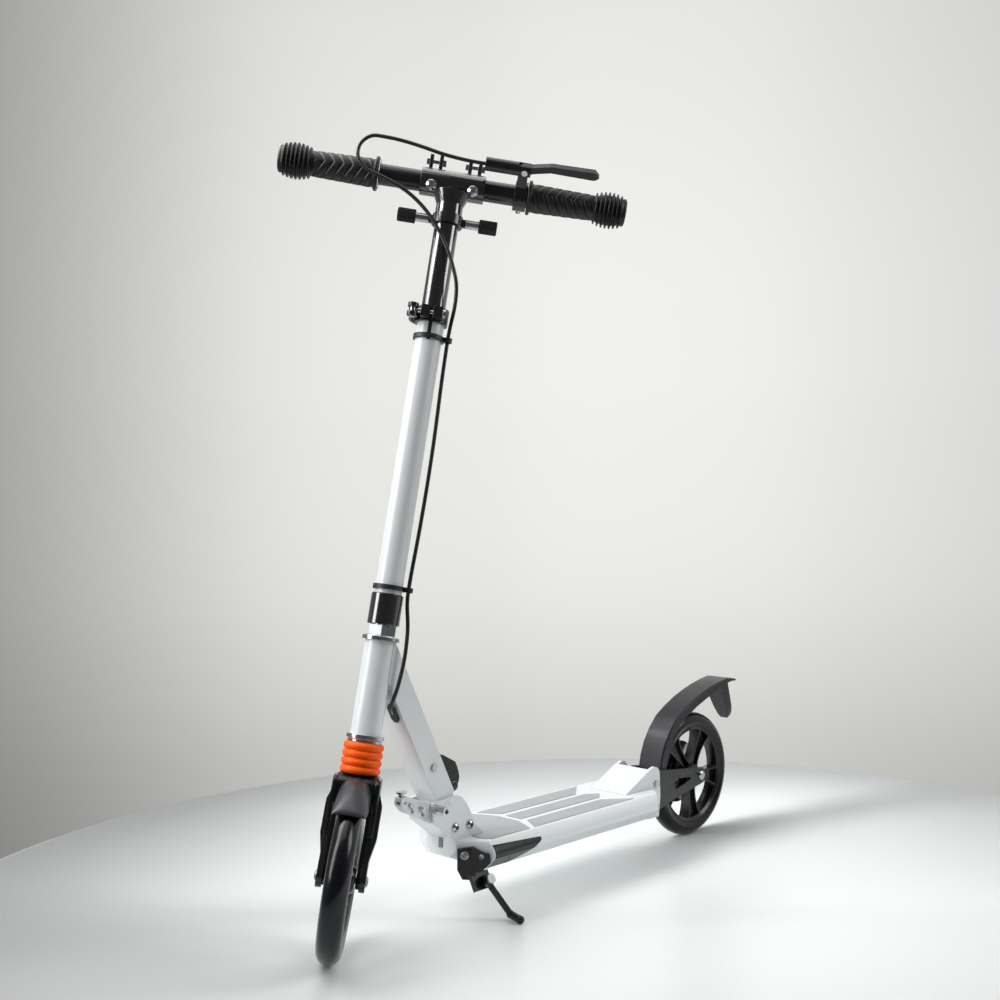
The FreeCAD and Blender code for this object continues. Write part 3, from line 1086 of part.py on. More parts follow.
def build_rear_bracket():
    """Casting on the deck's rear end: side plates around the swingarm, a wall and a ramp."""
    solid = plate("rear_casting", [
        ("deck_rear+59", "deck_top+0.02"), ("deck_rear-2", "deck_top+28"),
        ("fender_ahead+6", "deck_top+31", "13"),
        ("fender_ahead-9", "deck_top+18"), ("fender_ahead-11", "deck_top-16"),
        ("fender_ahead-7", "swing_height-15"),
        ("deck_rear-0.02", "swing_height-15"), ("deck_rear-0.02", "deck_top+0.02")],
        "2*(bracket_inner+bracket_wall)",
        [("swing_ahead", "swing_height", "5.02"), ("fender_ahead+1", "fender_height-2", "3.02")])
    gap = box("rear_gap", "200", "2*bracket_inner", "200", ("deck_rear-204", "-bracket_inner", "0"))
    way = cylinder("rear_cable_way", "4", "60", ("deck_rear-30", "-18", "deck_top-14"),
        Rotation(Vector(0, 1, 0), 90))
    node(cut("rear_bracket_cut", solid, [gap, way]), "rear_bracket", UPRIGHT)
    bolts = []
    face = "bracket_inner+bracket_wall"
    shank = across("swing_pin", "5", face + "+1", "-(%s)-1" % face, "swing_ahead", "swing_height")
    heads = [across("swing_head", "7.5", face + "+4.5", face + "+0.02", "swing_ahead", "swing_height"),
             across("swing_nut", "7", "-(%s)-0.02" % face, "-(%s)-5" % face, "swing_ahead", "swing_height")]
    bolts.append(fuse("swing_bolt", [shank] + heads))
    for side in (1, -1):
        ends = [(face, "bracket_inner+0.1"), (face + "+4", face + "+0.02")]
        if side < 0:
            ends = [("-(%s)" % right, "-(%s)" % left) for left, right in ends]
        name = "rear_stud_%d" % len(bolts)
        pieces = [across(name + "_shank", "3", ends[0][0], ends[0][1], "fender_ahead+1", "fender_height-2"),
                  across(name + "_head", "5.5", ends[1][0], ends[1][1], "fender_ahead+1",
                  "fender_height-2")]
        joint = ("%s+0.1" % face, face + "-0.1") if side > 0 else ("-(%s)+0.1" % face, "-(%s)-0.1" % face)
        pieces.append(across(name + "_neck", "3", joint[0], joint[1], "fender_ahead+1", "fender_height-2"))
        bolts.append(fuse(name, pieces))
    node(group("rear_fasteners", bolts), "rear_bracket_bolts", UPRIGHT)
    node(plate("damper_block", [
        ("block_ahead+13.3", "swing_height+13"), ("block_ahead+15", "swing_height+11"),
        ("deck_rear-5.5", "swing_height+11"), ("deck_rear-4.02", "swing_height+13"),
        ("deck_rear-4.02", "swing_height+24"), ("block_ahead+13.3", "swing_height+24")], "24"),
        "rear_damper", UPRIGHT)


def build_swingarm():
    """Two windowed side arms joined by a cross block, which carry the rear wheel and its guard."""
    arms = plate("swing_arms", [
        ("0", "wheel_radius-14"), ("79", "swing_height"), ("108", "swing_height-7"),
        ("swing_ahead", "swing_height-9", "9.01"), ("swing_ahead+9", "swing_height"),
        ("fender_ahead+7", "fender_height", "7.01"), ("fender_ahead-6", "fender_height+4"),
        ("114", "fender_height+15"), ("68", "wheel_radius+20"), ("0", "wheel_radius+13", "13.51")],
        "2*(arm_inner+arm_thickness)",
        [("0", "wheel_radius", "axle_radius+axle_play"), ("swing_ahead", "swing_height", "5.05"),
         ("fender_ahead", "fender_height", "3.02")])
    window = plate("swing_window", [
        ("30", "wheel_radius-3", "-3"), ("30", "wheel_radius+2"), ("66", "wheel_radius+5", "-8"),
        ("72", "wheel_radius-6", "-6"), ("68", "wheel_radius-12")], "100")
    gap = box("swing_gap", "400", "2*arm_inner", "300", ("-200", "-arm_inner", "0"))
    block = box("swing_block", "13", "2*arm_inner+1", "24", ("block_ahead", "-arm_inner-0.5",
        "swing_height+2"))
    way = cylinder("swing_cable_way", "4", "60", ("80", "-18", "deck_top-14"),
        Rotation(Vector(0, 1, 0), 90))
    sides = cut("swing_sides", arms, [gap, window])
    node(cut("swing_cut", fuse("swing_solid", [sides, block]), [way]), "swingarm", UPRIGHT)


def build_rear_brake():
    """Disc on the hub's right end and the caliper that straddles it inside the arm."""
    node(ring("rotor", "rotor_bore", "rotor_radius", "-hub_length/2-0.02-rotor_thickness",
        "-hub_length/2-0.02"),
         "brake_rotor", REAR_WHEEL)
    block = box("caliper_block", "28", "arm_inner-10.02", "23",
        ("36", "-arm_inner+0.02", "wheel_radius-20"))
    slot = cylinder("caliper_slot", "rotor_radius+1.5", "rotor_thickness+1.2",
                    ("0", "-hub_length/2-0.62-rotor_thickness", "wheel_radius"), LYING)
    piston = across("caliper_piston", "7", "-arm_inner-arm_thickness-0.02", "-arm_inner-arm_thickness-7",
        "50", "wheel_radius-8")
    node(group("caliper", [cut("caliper_cut", block, [slot]), piston]), "brake_caliper", UPRIGHT)


def build_rear_fender():
    """Long moulded guard with skirts, hinged on the swingarm, and a flap behind."""
    foot = [("fender_ahead-7", "fender_height-6"), ("fender_ahead+7", "fender_height-6", "8"),
            ("fender_ahead+2", "fender_height+7")]
    outer = plate("guard_outer", [
        ("fender_ahead-27", "118", "116"), ("58", "198", "254"), ("-45", "236", "700"), ("-111", "235"),
        ("-110", "231.5"), ("-45", "223", "-212"), ("49", "188", "-100"), ("90", "116")] + foot,
        "2*fender_half")
    inner = plate("guard_inner", [
        ("fender_ahead-30.5", "117", "113"), ("55.5", "195.5", "251"), ("-45", "233", "697"),
        ("-108", "232"),
        ("-140", "200"), ("0", "100"), ("200", "90"), ("200", "140"), ("fender_ahead-26", "140")],
        "2*(fender_half-guard_wall)")
    slices = [box("guard_slice_%d" % i, "68", "80", "80", ("fender_ahead-48", left, "60"))
              for i, left in enumerate(("fender_half-0.1", "-fender_half-79.9"))]
    hole = across("guard_hole", "3.05", "40", "-40", "fender_ahead", "fender_height")
    flap = plate("guard_flap", [
        ("-65", "234.5"), ("-82", "235"), ("-112", "181", "7"), ("-100", "174")],
        "2*(fender_half-guard_wall)+0.2")
    whole = fuse("guard_solid", [cut("guard_shell", outer, [inner] + slices), flap])
    node(cut("guard_cut", whole, [hole]), "rear_fender", UPRIGHT)
    pin = across("guard_pin", "3", "arm_inner+arm_thickness+0.9", "-arm_inner-arm_thickness-0.9",
        "fender_ahead", "fender_height")
    coil = ring("guard_coil", "3.1", "6", "-8", "8")
    coil.Placement = Placement(Vector(size("fender_ahead"), 0, size("fender_height")), LYING)
    node(group("guard_hinge", [pin, coil]), "fender_hinge", UPRIGHT)


build_rear_bracket()
build_swingarm()
build_rear_brake()
build_rear_fender()


# ---- cable --------------------------------------------------------------------------

def route(label, points, place):
    """A round cable along straight runs joined by arcs that touch both of them."""
    edges, at = [], points[0]
    radii = []
    for before, corner, after in zip(points, points[1:], points[2:]):
        into, out = (corner - before), (after - corner)
        run = 0.45 * min(into.Length, out.Length)
        into, out = Vector(into).normalize(), Vector(out).normalize()
        half = into.getAngle(out) / 2
        radii.append(run / math.tan(half))
        start, stop = corner - into * run, corner + out * run
        inward = Vector(out - into).normalize()
        middle = corner + inward * (radii[-1] / math.cos(half) - radii[-1])
        edges += [Part.LineSegment(at, start).toShape(), Part.Arc(start, middle, stop).toShape()]
        at = stop
    edges.append(Part.LineSegment(at, points[-1]).toShape())
    wire = Part.Wire(edges)
    end = Part.Wire([Part.Circle(points[0], points[1] - points[0], size("cable_radius")).toShape()])
    cable = doc.addObject("Part::Feature", label + "_run")
    cable.Shape = wire.makePipeShell([end], True, True)
    expected = wire.Length * math.pi * size("cable_radius") ** 2
    print(label, "length %.1f" % wire.Length, "least radius %.1f" % min(radii),
          "volume ratio %.4f" % (cable.Shape.Volume / expected))
    node(cable, label, place)


def build_upper_cable():
    """Brake cable from the lever's barrel, round the bar and down to the down tube."""
    rise = math.radians(size("lever_tilt"))
    ahead, up = size("lever_offset") * math.cos(rise), size("lever_offset") * math.sin(rise)
    start = size("barrel_start")
    loop = [(ahead, start + 11.5, up), (ahead, start - 22, up), (ahead - 0.5, -16, 28),
        (ahead - 1.5, -48, 35),
            (ahead - 2.5, -80, 40), (ahead - 3.5, -114, 41), (ahead - 4, -128, 27), (ahead - 4.5, -128, 7),
            (ahead - 5, -114, -7), (ahead - 5.5, -84, -15), (ahead - 6, -54, -28), (ahead - 6, -28, -48),
            (ahead - 5.5, -7, -73), (ahead - 6, 12, -104), (21, 26, -138), (12, 28, -164)]
    level = size("bar_level")
    points = [Vector(x, y, z + level) for x, y, z in loop]
    points += [Vector(x, y, size(z)) for x, y, z in CLIP_RUN]
    to_column = COLUMN.inverse().multiply(UPRIGHT)
    points += [to_column.multVec(Vector(*p)) for p in ((645, 26, 388), (654, 29, 348), (664, 26, 312))]
    to_column = COLUMN.inverse().multiply(TUBE)
    points += [to_column.multVec(MOUTH_FACE + MOUTH_WAY * reach) for reach in (23.4, 2)]
    route("brake_cable_upper", points, COLUMN)


CLIP_RUN = (
    (4, 25, "outer_tube_top-14"), (4, 25, "outer_tube_top-42"), (4, 25.5, "outer_tube_top-85"),
    (4, 27.5, "outer_tube_top-150"), (4, 28, "outer_tube_top-215"), (4, 27, "outer_tube_top-280"),
    (4, 25, "outer_tube_bottom+51"), (4, 25, "outer_tube_bottom+22"))
CLIP_LEVELS = ("outer_tube_top-27", "outer_tube_bottom+36")


def build_lower_cable():
    """Brake cable from the down tube's mouth, through the fold and deck, to the caliper."""
    inside = [TUBE.multVec(Vector(*p)) for p in (
        tuple(MOUTH_FACE + MOUTH_WAY * 1.8), tuple(MOUTH_FACE - MOUTH_WAY * 34), (-15.5, -3, 78),
        (-17.5, 0, 40),
        (-17.5, 0, 8))]
    back = UPRIGHT.inverse()
    points = [back.multVec(p) for p in inside]
    fold, top = size("fold_ahead"), size("deck_top")
    points += [Vector(fold - 21.8, 0, top + 24), Vector(fold - 22.5, 0, top + 2),
        Vector(fold - 33, -0.2, top - 9.5),
               Vector(fold - 56, -1, top - 9.5)]
    first, last = fold - 90, size("deck_rear") + 20
    steps = 6
    for i in range(steps + 1):
        sway = 2 if i % 2 else -2
        points.append(Vector(first + (last - first) * i / steps, -8 - 10 * i / steps + sway,
            top - 16 + sway / 2))
    points += [Vector(size("deck_rear") - 8, -18, top - 14), Vector(100, -18.8, top - 14.4),
               Vector(64.3, -19, top - 12.5)]
    route("brake_cable_lower", points, UPRIGHT)


def build_clips():
    """Two clips on the outer tube: a thin ring and an eye for the cable."""
    clips = []
    ahead, left = str(CLIP_RUN[0][0]), str(CLIP_RUN[0][1])
    for i, level in enumerate(CLIP_LEVELS):
        low = level + "-3"
        band = ring("clip_band_%d" % i, "outer_tube_radius+0.02", "outer_tube_radius+3", low, level + "+3")
        eye = cylinder("clip_eye_%d" % i, "cable_radius+3.2", "6", (ahead, left, low))
        hole = cylinder("clip_hole_%d" % i, "cable_radius+0.8", "20", (ahead, left, level + "-10"))
        bore = cylinder("clip_bore_%d" % i, "outer_tube_radius+0.02", "20", ("0", "0", level + "-10"))
        clips.append(cut("clip_%d" % i, fuse("clip_solid_%d" % i, [band, eye]), [hole, bore]))
    node(group("clips", clips), "cable_clips", COLUMN)


build_upper_cable()
build_lower_cable()
build_clips()


# ---- hand over ----------------------------------------------------------------------

def settle():
    """Moves every sub-part so that the origin lies under the middle of the scooter."""
    box_all = FreeCAD.BoundBox()
    for item in NODES:
        box_all.add(item.Shape.optimalBoundingBox(False, False))
    shift = Vector(-box_all.Center.x, -box_all.Center.y, -box_all.ZMin)
    for item in NODES:
        item.Placement = Placement(shift, Rotation()).multiply(item.Placement)
    return box_all, shift


def check():
    """Stops if a feature failed or a sub-part is empty or broken."""
    faults = [item.Label for item in doc.Objects if "Invalid" in item.State or "Error" in item.State]
    faults += [item.Label for item in NODES
               if item.Shape.isNull() or not item.Shape.isValid() or item.Shape.Volume <= 0]
    if faults:
        raise SystemExit("faulty: " + ", ".join(faults))


doc.recompute()
check()
whole, moved = settle()
doc.recompute()
check()
os.makedirs("parts", exist_ok=True)
for item in NODES:
    item.Shape.exportStep("parts/%s.step" % item.Label)
print(len(NODES), "sub-parts, %.1f x %.1f x %.1f mm" % (whole.XLength, whole.YLength, whole.ZLength),
      "shift", tuple(round(v, 3) for v in moved))
for item in NODES:
    print("%-20s solids %d volume %.0f" % (item.Label, len(item.Shape.Solids), item.Shape.Volume))
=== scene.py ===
import bmesh
import bpy
import json
import math
from mathutils import Matrix, Vector


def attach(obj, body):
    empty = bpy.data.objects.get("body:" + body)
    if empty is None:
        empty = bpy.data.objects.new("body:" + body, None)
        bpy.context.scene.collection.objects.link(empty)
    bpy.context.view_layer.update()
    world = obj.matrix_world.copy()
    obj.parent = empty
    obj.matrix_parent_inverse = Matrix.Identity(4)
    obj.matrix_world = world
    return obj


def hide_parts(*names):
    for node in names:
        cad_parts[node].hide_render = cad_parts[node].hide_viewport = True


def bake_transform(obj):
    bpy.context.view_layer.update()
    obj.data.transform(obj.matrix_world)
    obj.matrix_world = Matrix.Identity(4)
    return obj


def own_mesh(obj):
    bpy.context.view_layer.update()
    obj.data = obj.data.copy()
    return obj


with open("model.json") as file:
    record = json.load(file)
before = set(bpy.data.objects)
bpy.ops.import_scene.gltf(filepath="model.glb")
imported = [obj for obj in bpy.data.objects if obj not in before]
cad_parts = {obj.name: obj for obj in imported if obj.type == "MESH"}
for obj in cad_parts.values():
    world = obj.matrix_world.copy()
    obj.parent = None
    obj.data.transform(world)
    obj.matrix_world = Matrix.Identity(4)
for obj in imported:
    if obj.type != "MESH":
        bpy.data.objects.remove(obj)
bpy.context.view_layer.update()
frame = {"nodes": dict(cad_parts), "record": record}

joints = {joint["name"]: joint for joint in frame["record"]["behaviour"]["joints"]}
mounts = {mount["name"]: mount for mount in frame["record"]["mounts"]}


# ---- frames -------------------------------------------------------------------------

def basis(x, y, z, origin):
    """A matrix from local axes and an origin, all in the row frame."""
    turn = Matrix((x, y, z)).transposed().to_4x4()
    return Matrix.Translation(origin) @ turn


up_axis = Vector(joints["steering"]["axis"])
left_axis = Vector(joints["left_bar_pull"]["axis"])
ahead_axis = left_axis.cross(up_axis)
stub_middle = (Vector(mounts["left_stub"]["pos_m"]) + Vector(mounts["right_stub"]["pos_m"])) / 2
BAR_ABOVE_STUBS = 0.050
LEFT_TURN = basis(Vector((1, 0, 0)), Vector((0, 0, -1)), Vector((0, 1, 0)), Vector((0, 0, 0)))
RIGHT_TURN = basis(Vector((1, 0, 0)), Vector((0, 0, 1)), Vector((0, -1, 0)), Vector((0, 0, 0)))
BAR = basis(ahead_axis, left_axis, up_axis, stub_middle + up_axis * BAR_ABOVE_STUBS)
LEFT_OUT = BAR @ LEFT_TURN         # local z runs outward along each half of the bar
RIGHT_OUT = BAR @ RIGHT_TURN


def wheel_frame(name):
    """Local z runs along the axle, to the left."""
    z = Vector(joints[name]["axis"])
    x = Vector((0, 0, 1)).cross(z).normalized()
    return basis(x, z.cross(x), z, Vector(joints[name]["pos_m"]))


FRONT_WHEEL = wheel_frame("front_wheel_spin")
REAR_WHEEL = wheel_frame("rear_wheel_spin")


# ---- materials ----------------------------------------------------------------------

def mottle(tree, vector, scale, low, high, detail=4.0):
    """A noise between two values."""
    noise = tree.nodes.new("ShaderNodeTexNoise")
    noise.inputs["Scale"].default_value = scale
    noise.inputs["Detail"].default_value = detail
    span = tree.nodes.new("ShaderNodeMapRange")
    span.inputs["From Min"].default_value = 0.3
    span.inputs["From Max"].default_value = 0.7
    span.inputs["To Min"].default_value = low
    span.inputs["To Max"].default_value = high
    tree.links.new(vector, noise.inputs["Vector"])
    tree.links.new(noise.outputs["Fac"], span.inputs["Value"])
    return span.outputs["Result"]


TINT_SCALE, SHEEN_SCALE, GRAIN_DEPTH = 28, 60, 0.0004


def finish(name, colour, rough, metal=0.0, coat=0.0, shine=0.5, tint=0.06, rough_span=0.06,
           grain=900, bump=0.03, edge=0.0007):
    """A surface with mottled colour, uneven roughness, fine grain and softened edges."""
    material = bpy.data.materials.new(name)
    material.use_nodes = True
    tree = material.node_tree
    shader = tree.nodes["Principled BSDF"]
    shader.inputs["Metallic"].default_value = metal
    shader.inputs["Coat Weight"].default_value = coat
    shader.inputs["Specular IOR Level"].default_value = shine
    shader.inputs["Coat Roughness"].default_value = 0.08
    place = tree.nodes.new("ShaderNodeTexCoord").outputs["Object"]
    mix = tree.nodes.new("ShaderNodeMix")
    mix.data_type = "RGBA"
    mix.inputs["A"].default_value = (*[c * (1 - tint) for c in colour], 1)
    mix.inputs["B"].default_value = (*[min(c * (1 + tint), 1) for c in colour], 1)
    tree.links.new(mottle(tree, place, TINT_SCALE, 0, 1), mix.inputs["Factor"])
    tree.links.new(mix.outputs["Result"], shader.inputs["Base Color"])
    sheen = mottle(tree, place, SHEEN_SCALE, rough - rough_span, rough + rough_span)
    tree.links.new(sheen, shader.inputs["Roughness"])
    relief = tree.nodes.new("ShaderNodeBump")
    relief.inputs["Strength"].default_value = bump
    relief.inputs["Distance"].default_value = GRAIN_DEPTH
    tree.links.new(mottle(tree, place, grain, 0, 1), relief.inputs["Height"])
    if edge:
        soft = tree.nodes.new("ShaderNodeBevel")
        soft.samples = 4
        soft.inputs["Radius"].default_value = edge
        tree.links.new(soft.outputs["Normal"], relief.inputs["Normal"])
    tree.links.new(relief.outputs["Normal"], shader.inputs["Normal"])
    return material


WHITE = finish("white_paint", (0.72, 0.75, 0.765), 0.30, coat=0.3, tint=0.006, rough_span=0.02,
               grain=500, bump=0.006, edge=0.0012)
BLACK = finish("black_paint", (0.0065, 0.0068, 0.0085), 0.30, coat=0.2, tint=0.1, grain=1400,
               bump=0.05, edge=0.0008)
GLOSS_BLACK = finish("gloss_black", (0.005, 0.0055, 0.0075), 0.24, coat=0.1, shine=0.35, tint=0.05,
                     bump=0.02, edge=0.001)
PLASTIC = finish("black_plastic", (0.012, 0.0122, 0.0145), 0.48, tint=0.1, grain=1800, bump=0.10)
GREY = finish("grey_plastic", (0.022, 0.0235, 0.028), 0.42, coat=0.15, tint=0.06, grain=1500,
              bump=0.12, edge=0.0015)
RUBBER = finish("grip_rubber", (0.010, 0.0103, 0.012), 0.46, shine=0.45, tint=0.12, grain=1200,
                bump=0.12)
TYRE = finish("tyre_black", (0.0035, 0.004, 0.0065), 0.20, coat=0.1, shine=0.3, tint=0.1,
              rough_span=0.04, grain=200, bump=0.01)
SILVER = finish("silver", (0.50, 0.51, 0.53), 0.19, metal=1.0, tint=0.05, grain=700, bump=0.02,
                edge=0.0004)
ORANGE = finish("orange_rubber", (0.98, 0.115, 0.001), 0.45, shine=0.22, tint=0.04, grain=1000,
                bump=0.06)
TAPE = finish("grip_grey", (0.37, 0.385, 0.39), 0.75, tint=0.05, grain=2600, bump=0.5, edge=0.0)
DARK_METAL = finish("dark_metal", (0.05, 0.05, 0.055), 0.22, metal=0.7, coat=0.2, tint=0.1,
                    grain=900, bump=0.03)
CABLE = finish("cable_black", (0.010, 0.010, 0.012), 0.4, coat=0.2, tint=0.1, grain=1000,
               bump=0.05, edge=0.0)
FINISHES = {"white_paint": WHITE, "black_paint": BLACK, "black_plastic": PLASTIC,
            "grey_plastic": GREY, "grip_rubber": RUBBER, "tyre_black": TYRE,
            "rim_black": GLOSS_BLACK, "silver": SILVER, "orange_rubber": ORANGE,
            "grip_grey": TAPE, "cable_black": CABLE}

slot_of = {part["node"]: part["material_slot"] for part in frame["record"]["subparts"]}
GLAZE = finish("glazed_black", (0.005, 0.0055, 0.009), 0.16, coat=1.0, shine=1.0, tint=0.05,
               rough_span=0.02, grain=500, bump=0.004, edge=0.0010)
GUARD = finish("guard_plastic", (0.0095, 0.0105, 0.0145), 0.36, coat=0.15, shine=0.4, tint=0.06,
               grain=1500, bump=0.08, edge=0.0015)
STEEL = finish("steel", (0.30, 0.31, 0.33), 0.34, metal=1.0, tint=0.06, grain=900, bump=0.02,
               edge=0.0006)
# Nodes whose finish differs from the one of their slot.
OWN_FINISH = {"grip_holder": DARK_METAL, "inner_tube": GLAZE, "handlebar_tee": GLAZE,
              "side_inserts": GLOSS_BLACK, "stem_collar": GLAZE, "headset_locknut": STEEL,
              "kickstand_bolts": STEEL, "kickstand": GLOSS_BLACK,
              "kickstand_bracket": GLOSS_BLACK, "fold_lever": GLOSS_BLACK}
for name, obj in frame["nodes"].items():
    for spot in obj.material_slots:
        spot.material = OWN_FINISH.get(name, FINISHES[slot_of[name]])


# ---- pieces -------------------------------------------------------------------------

SHARP = math.radians(28)        # edges that bend more than this stay crisp


def add(name, mesh_data, body, material, smooth=True):
    """A new object from a bmesh, riding on a body."""
    mesh = bpy.data.meshes.new(name)
    bmesh.ops.recalc_face_normals(mesh_data, faces=mesh_data.faces)
    mesh_data.to_mesh(mesh)
    mesh_data.free()
    for face in mesh.polygons:
        face.use_smooth = True
    if not smooth:
        mesh.set_sharp_from_angle(angle=SHARP)
    piece = bpy.data.objects.new(name, mesh)
    bpy.context.scene.collection.objects.link(piece)
    mesh.materials.append(material)
    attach(piece, body)
    return piece


def lathe(profile, place, segments=96, warp=None):
    """Turns a closed or open (radius, height) profile about local z; warp may change a radius."""
    data = bmesh.new()
    rings = []
    for radius, height in profile:
        if radius < 1e-6:
            rings.append([data.verts.new(place @ Vector((0, 0, height)))])
            continue
        ring = []
        for k in range(segments):
            angle = 2 * math.pi * k / segments
            r = radius + (warp(angle, height) if warp else 0)
            spot = Vector((r * math.cos(angle), r * math.sin(angle), height))
            ring.append(data.verts.new(place @ spot))
        rings.append(ring)
    for low, high in zip(rings, rings[1:]):
        for k in range(segments):
            n = (k + 1) % segments
            if len(low) == 1:
                data.faces.new((low[0], high[k], high[n]))
            elif len(high) == 1:
                data.faces.new((low[k], low[n], high[0]))
            else:
                data.faces.new((low[k], low[n], high[n], high[k]))
    return data


GRIP_START, GRIP_END = 0.100, 0.232
WAIST_START, BULB_START, BULB_END = 0.1055, 0.1885, 0.2284
CHEVRON_PITCH, CHEVRON_RISE = 0.0125, 0.016
WAIST_STEPS, FINS, FIN_HEIGHT = 150, 7, 0.0040


def chevron(angle, height):
    """V-shaped ribs on the grip's waist, one V on each side."""
    if not WAIST_START < height < BULB_START:
        return 0
    across = abs(((angle / (2 * math.pi) * 2) % 1) - 0.5) * 2
    turn = ((height + CHEVRON_RISE * across) / CHEVRON_PITCH) % 1
    edge = max(0.0, min((height - WAIST_START) / 0.004, (BULB_START - height) / 0.004, 1))
    ridge = min(max((0.36 - abs(turn - 0.5)) / 0.09, 0), 1)
    return edge * (0.0013 * ridge * ridge * (3 - 2 * ridge) - 0.0006)


def grip(name, place, body, node):
    """Rubber grip: a thin flange, a waist with V ribs and a barrel of seven fins with a domed end."""
    profile = [(0.01405, GRIP_START), (0.0218, GRIP_START), (0.0226, 0.1008), (0.0226, 0.1034),
               (0.0218, 0.1042), (0.0192, 0.1050)]
    for k in range(WAIST_STEPS + 1):
        along = k / WAIST_STEPS
        profile.append((0.0184 - 0.0022 * along, WAIST_START + (BULB_START - WAIST_START) * along))
    profile.append((0.0172, BULB_START + 0.0008))
    pitch = (BULB_END - BULB_START - 0.0012) / FINS
    for k in range(FINS):
        low = BULB_START + 0.0012 + k * pitch
        top = 0.0240 - 0.0043 * ((k - 3.2) / 3.6) ** 2
        root = top - FIN_HEIGHT
        profile += [(root, low), (top - 0.0006, low + 0.10 * pitch), (top, low + 0.18 * pitch),
                    (top, low + 0.32 * pitch), (top - 0.0006, low + 0.40 * pitch),
                    (root, low + 0.50 * pitch)]
    profile += [(0.0182, 0.2290), (0.0178, 0.2302), (0.0160, 0.2316), (0.0120, GRIP_END),
                (0, GRIP_END + 0.0004)]
    piece = add(name, lathe(profile, place, 160, chevron), body, RUBBER)
    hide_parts(node)


grip("left_grip_ribbed", LEFT_OUT, "left_bar", "left_grip")
grip("right_grip_ribbed", RIGHT_OUT, "right_bar", "right_grip")
RING = [(0.0146, 0.0975), (0.0186, 0.0975), (0.0192, 0.0981), (0.0192, 0.0992), (0.0186, 0.0998),
        (0.0146, 0.0998)]
add("right_grip_ring", lathe(RING, RIGHT_OUT, 96), "right_bar", SILVER)


FLUTES, FLUTE_DEPTH = 24, 0.00035


def flutes(angle, height):
    """Square grooves along a cap."""
    return FLUTE_DEPTH * (1 if math.sin(angle * FLUTES) > 0 else -1)


def stub(name, place):
    """Fluted cap around the holder's stub."""
    profile = [(0.0086, 0.0425), (0.0088, 0.0428), (0.0089, 0.0440), (0.0089, 0.0640),
               (0.0086, 0.0655), (0.0070, 0.0662), (0, 0.0662)]
    add(name, lathe(profile, place, 192, flutes), "mast", PLASTIC, smooth=False)


STUBS = BAR @ Matrix.Translation((0, 0, -BAR_ABOVE_STUBS)) @ BAR.inverted()
stub("left_stub_cap", STUBS @ LEFT_OUT)
stub("right_stub_cap", STUBS @ RIGHT_OUT)


def column_frame(origin):
    """Local x runs ahead, y to the left and z up the steering column."""
    return basis(ahead_axis, left_axis, up_axis, origin)


def prism(data, outline, low, high, place, round_off=0.0015):
    """Adds a plate: an outline in local x and z, between two values of y, with rounded edges."""
    near = [data.verts.new(place @ Vector((x, low, z))) for x, z in outline]
    far = [data.verts.new(place @ Vector((x, high, z))) for x, z in outline]
    faces = [data.faces.new(near), data.faces.new(far[::-1])]
    for k in range(len(outline)):
        n = (k + 1) % len(outline)
        faces.append(data.faces.new((near[k], near[n], far[n], far[k])))
    edges = list({edge for face in faces for edge in face.edges})
    bmesh.ops.bevel(data, geom=edges, offset=round_off, segments=3, profile=0.5, affect="EDGES")


WHEEL_COLUMN = column_frame(Vector(joints["front_wheel_spin"]["pos_m"]))


def fork_cover():
    """A cast cover on the fork: a deep crown, gussets outside the legs and liners inside them."""
    data = bmesh.new()
    crown = [(-0.022, 0.1190), (-0.006, 0.1180), (-0.0015, 0.1130), (-0.0015, 0.1035), (-0.022, 0.1035)]
    prism(data, crown, -0.0235, 0.0235, WHEEL_COLUMN)
    cheek = [(-0.022, 0.106), (-0.0015, 0.106), (0.000, 0.080), (-0.008, 0.070), (-0.022, 0.080)]
    for low, high in ((0.0165, 0.0235), (-0.0235, -0.0165)):
        prism(data, cheek, low, high, WHEEL_COLUMN)
    gusset = [(-0.024, 0.1200), (-0.006, 0.1185), (-0.001, 0.1135), (0.001, 0.100), (-0.001, 0.080),
              (0.000, 0.050), (-0.012, 0.052), (-0.024, 0.0900)]
    for low, high in ((0.0228, 0.0292), (-0.0292, -0.0228)):
        prism(data, gusset, low, high, WHEEL_COLUMN)
    liner = [(-0.020, 0.1060), (-0.002, 0.1060), (0.001, 0.080), (0.008, 0.012), (0.009, -0.004),
             (0.004, -0.010), (-0.004, -0.010), (-0.009, -0.004), (-0.010, 0.012), (-0.020, 0.0800)]
    for low, high in ((0.0180, 0.0240), (-0.0240, -0.0180)):
        prism(data, liner, low, high, WHEEL_COLUMN)
    add("fork_cover", data, "fork", GLOSS_BLACK, smooth=False)


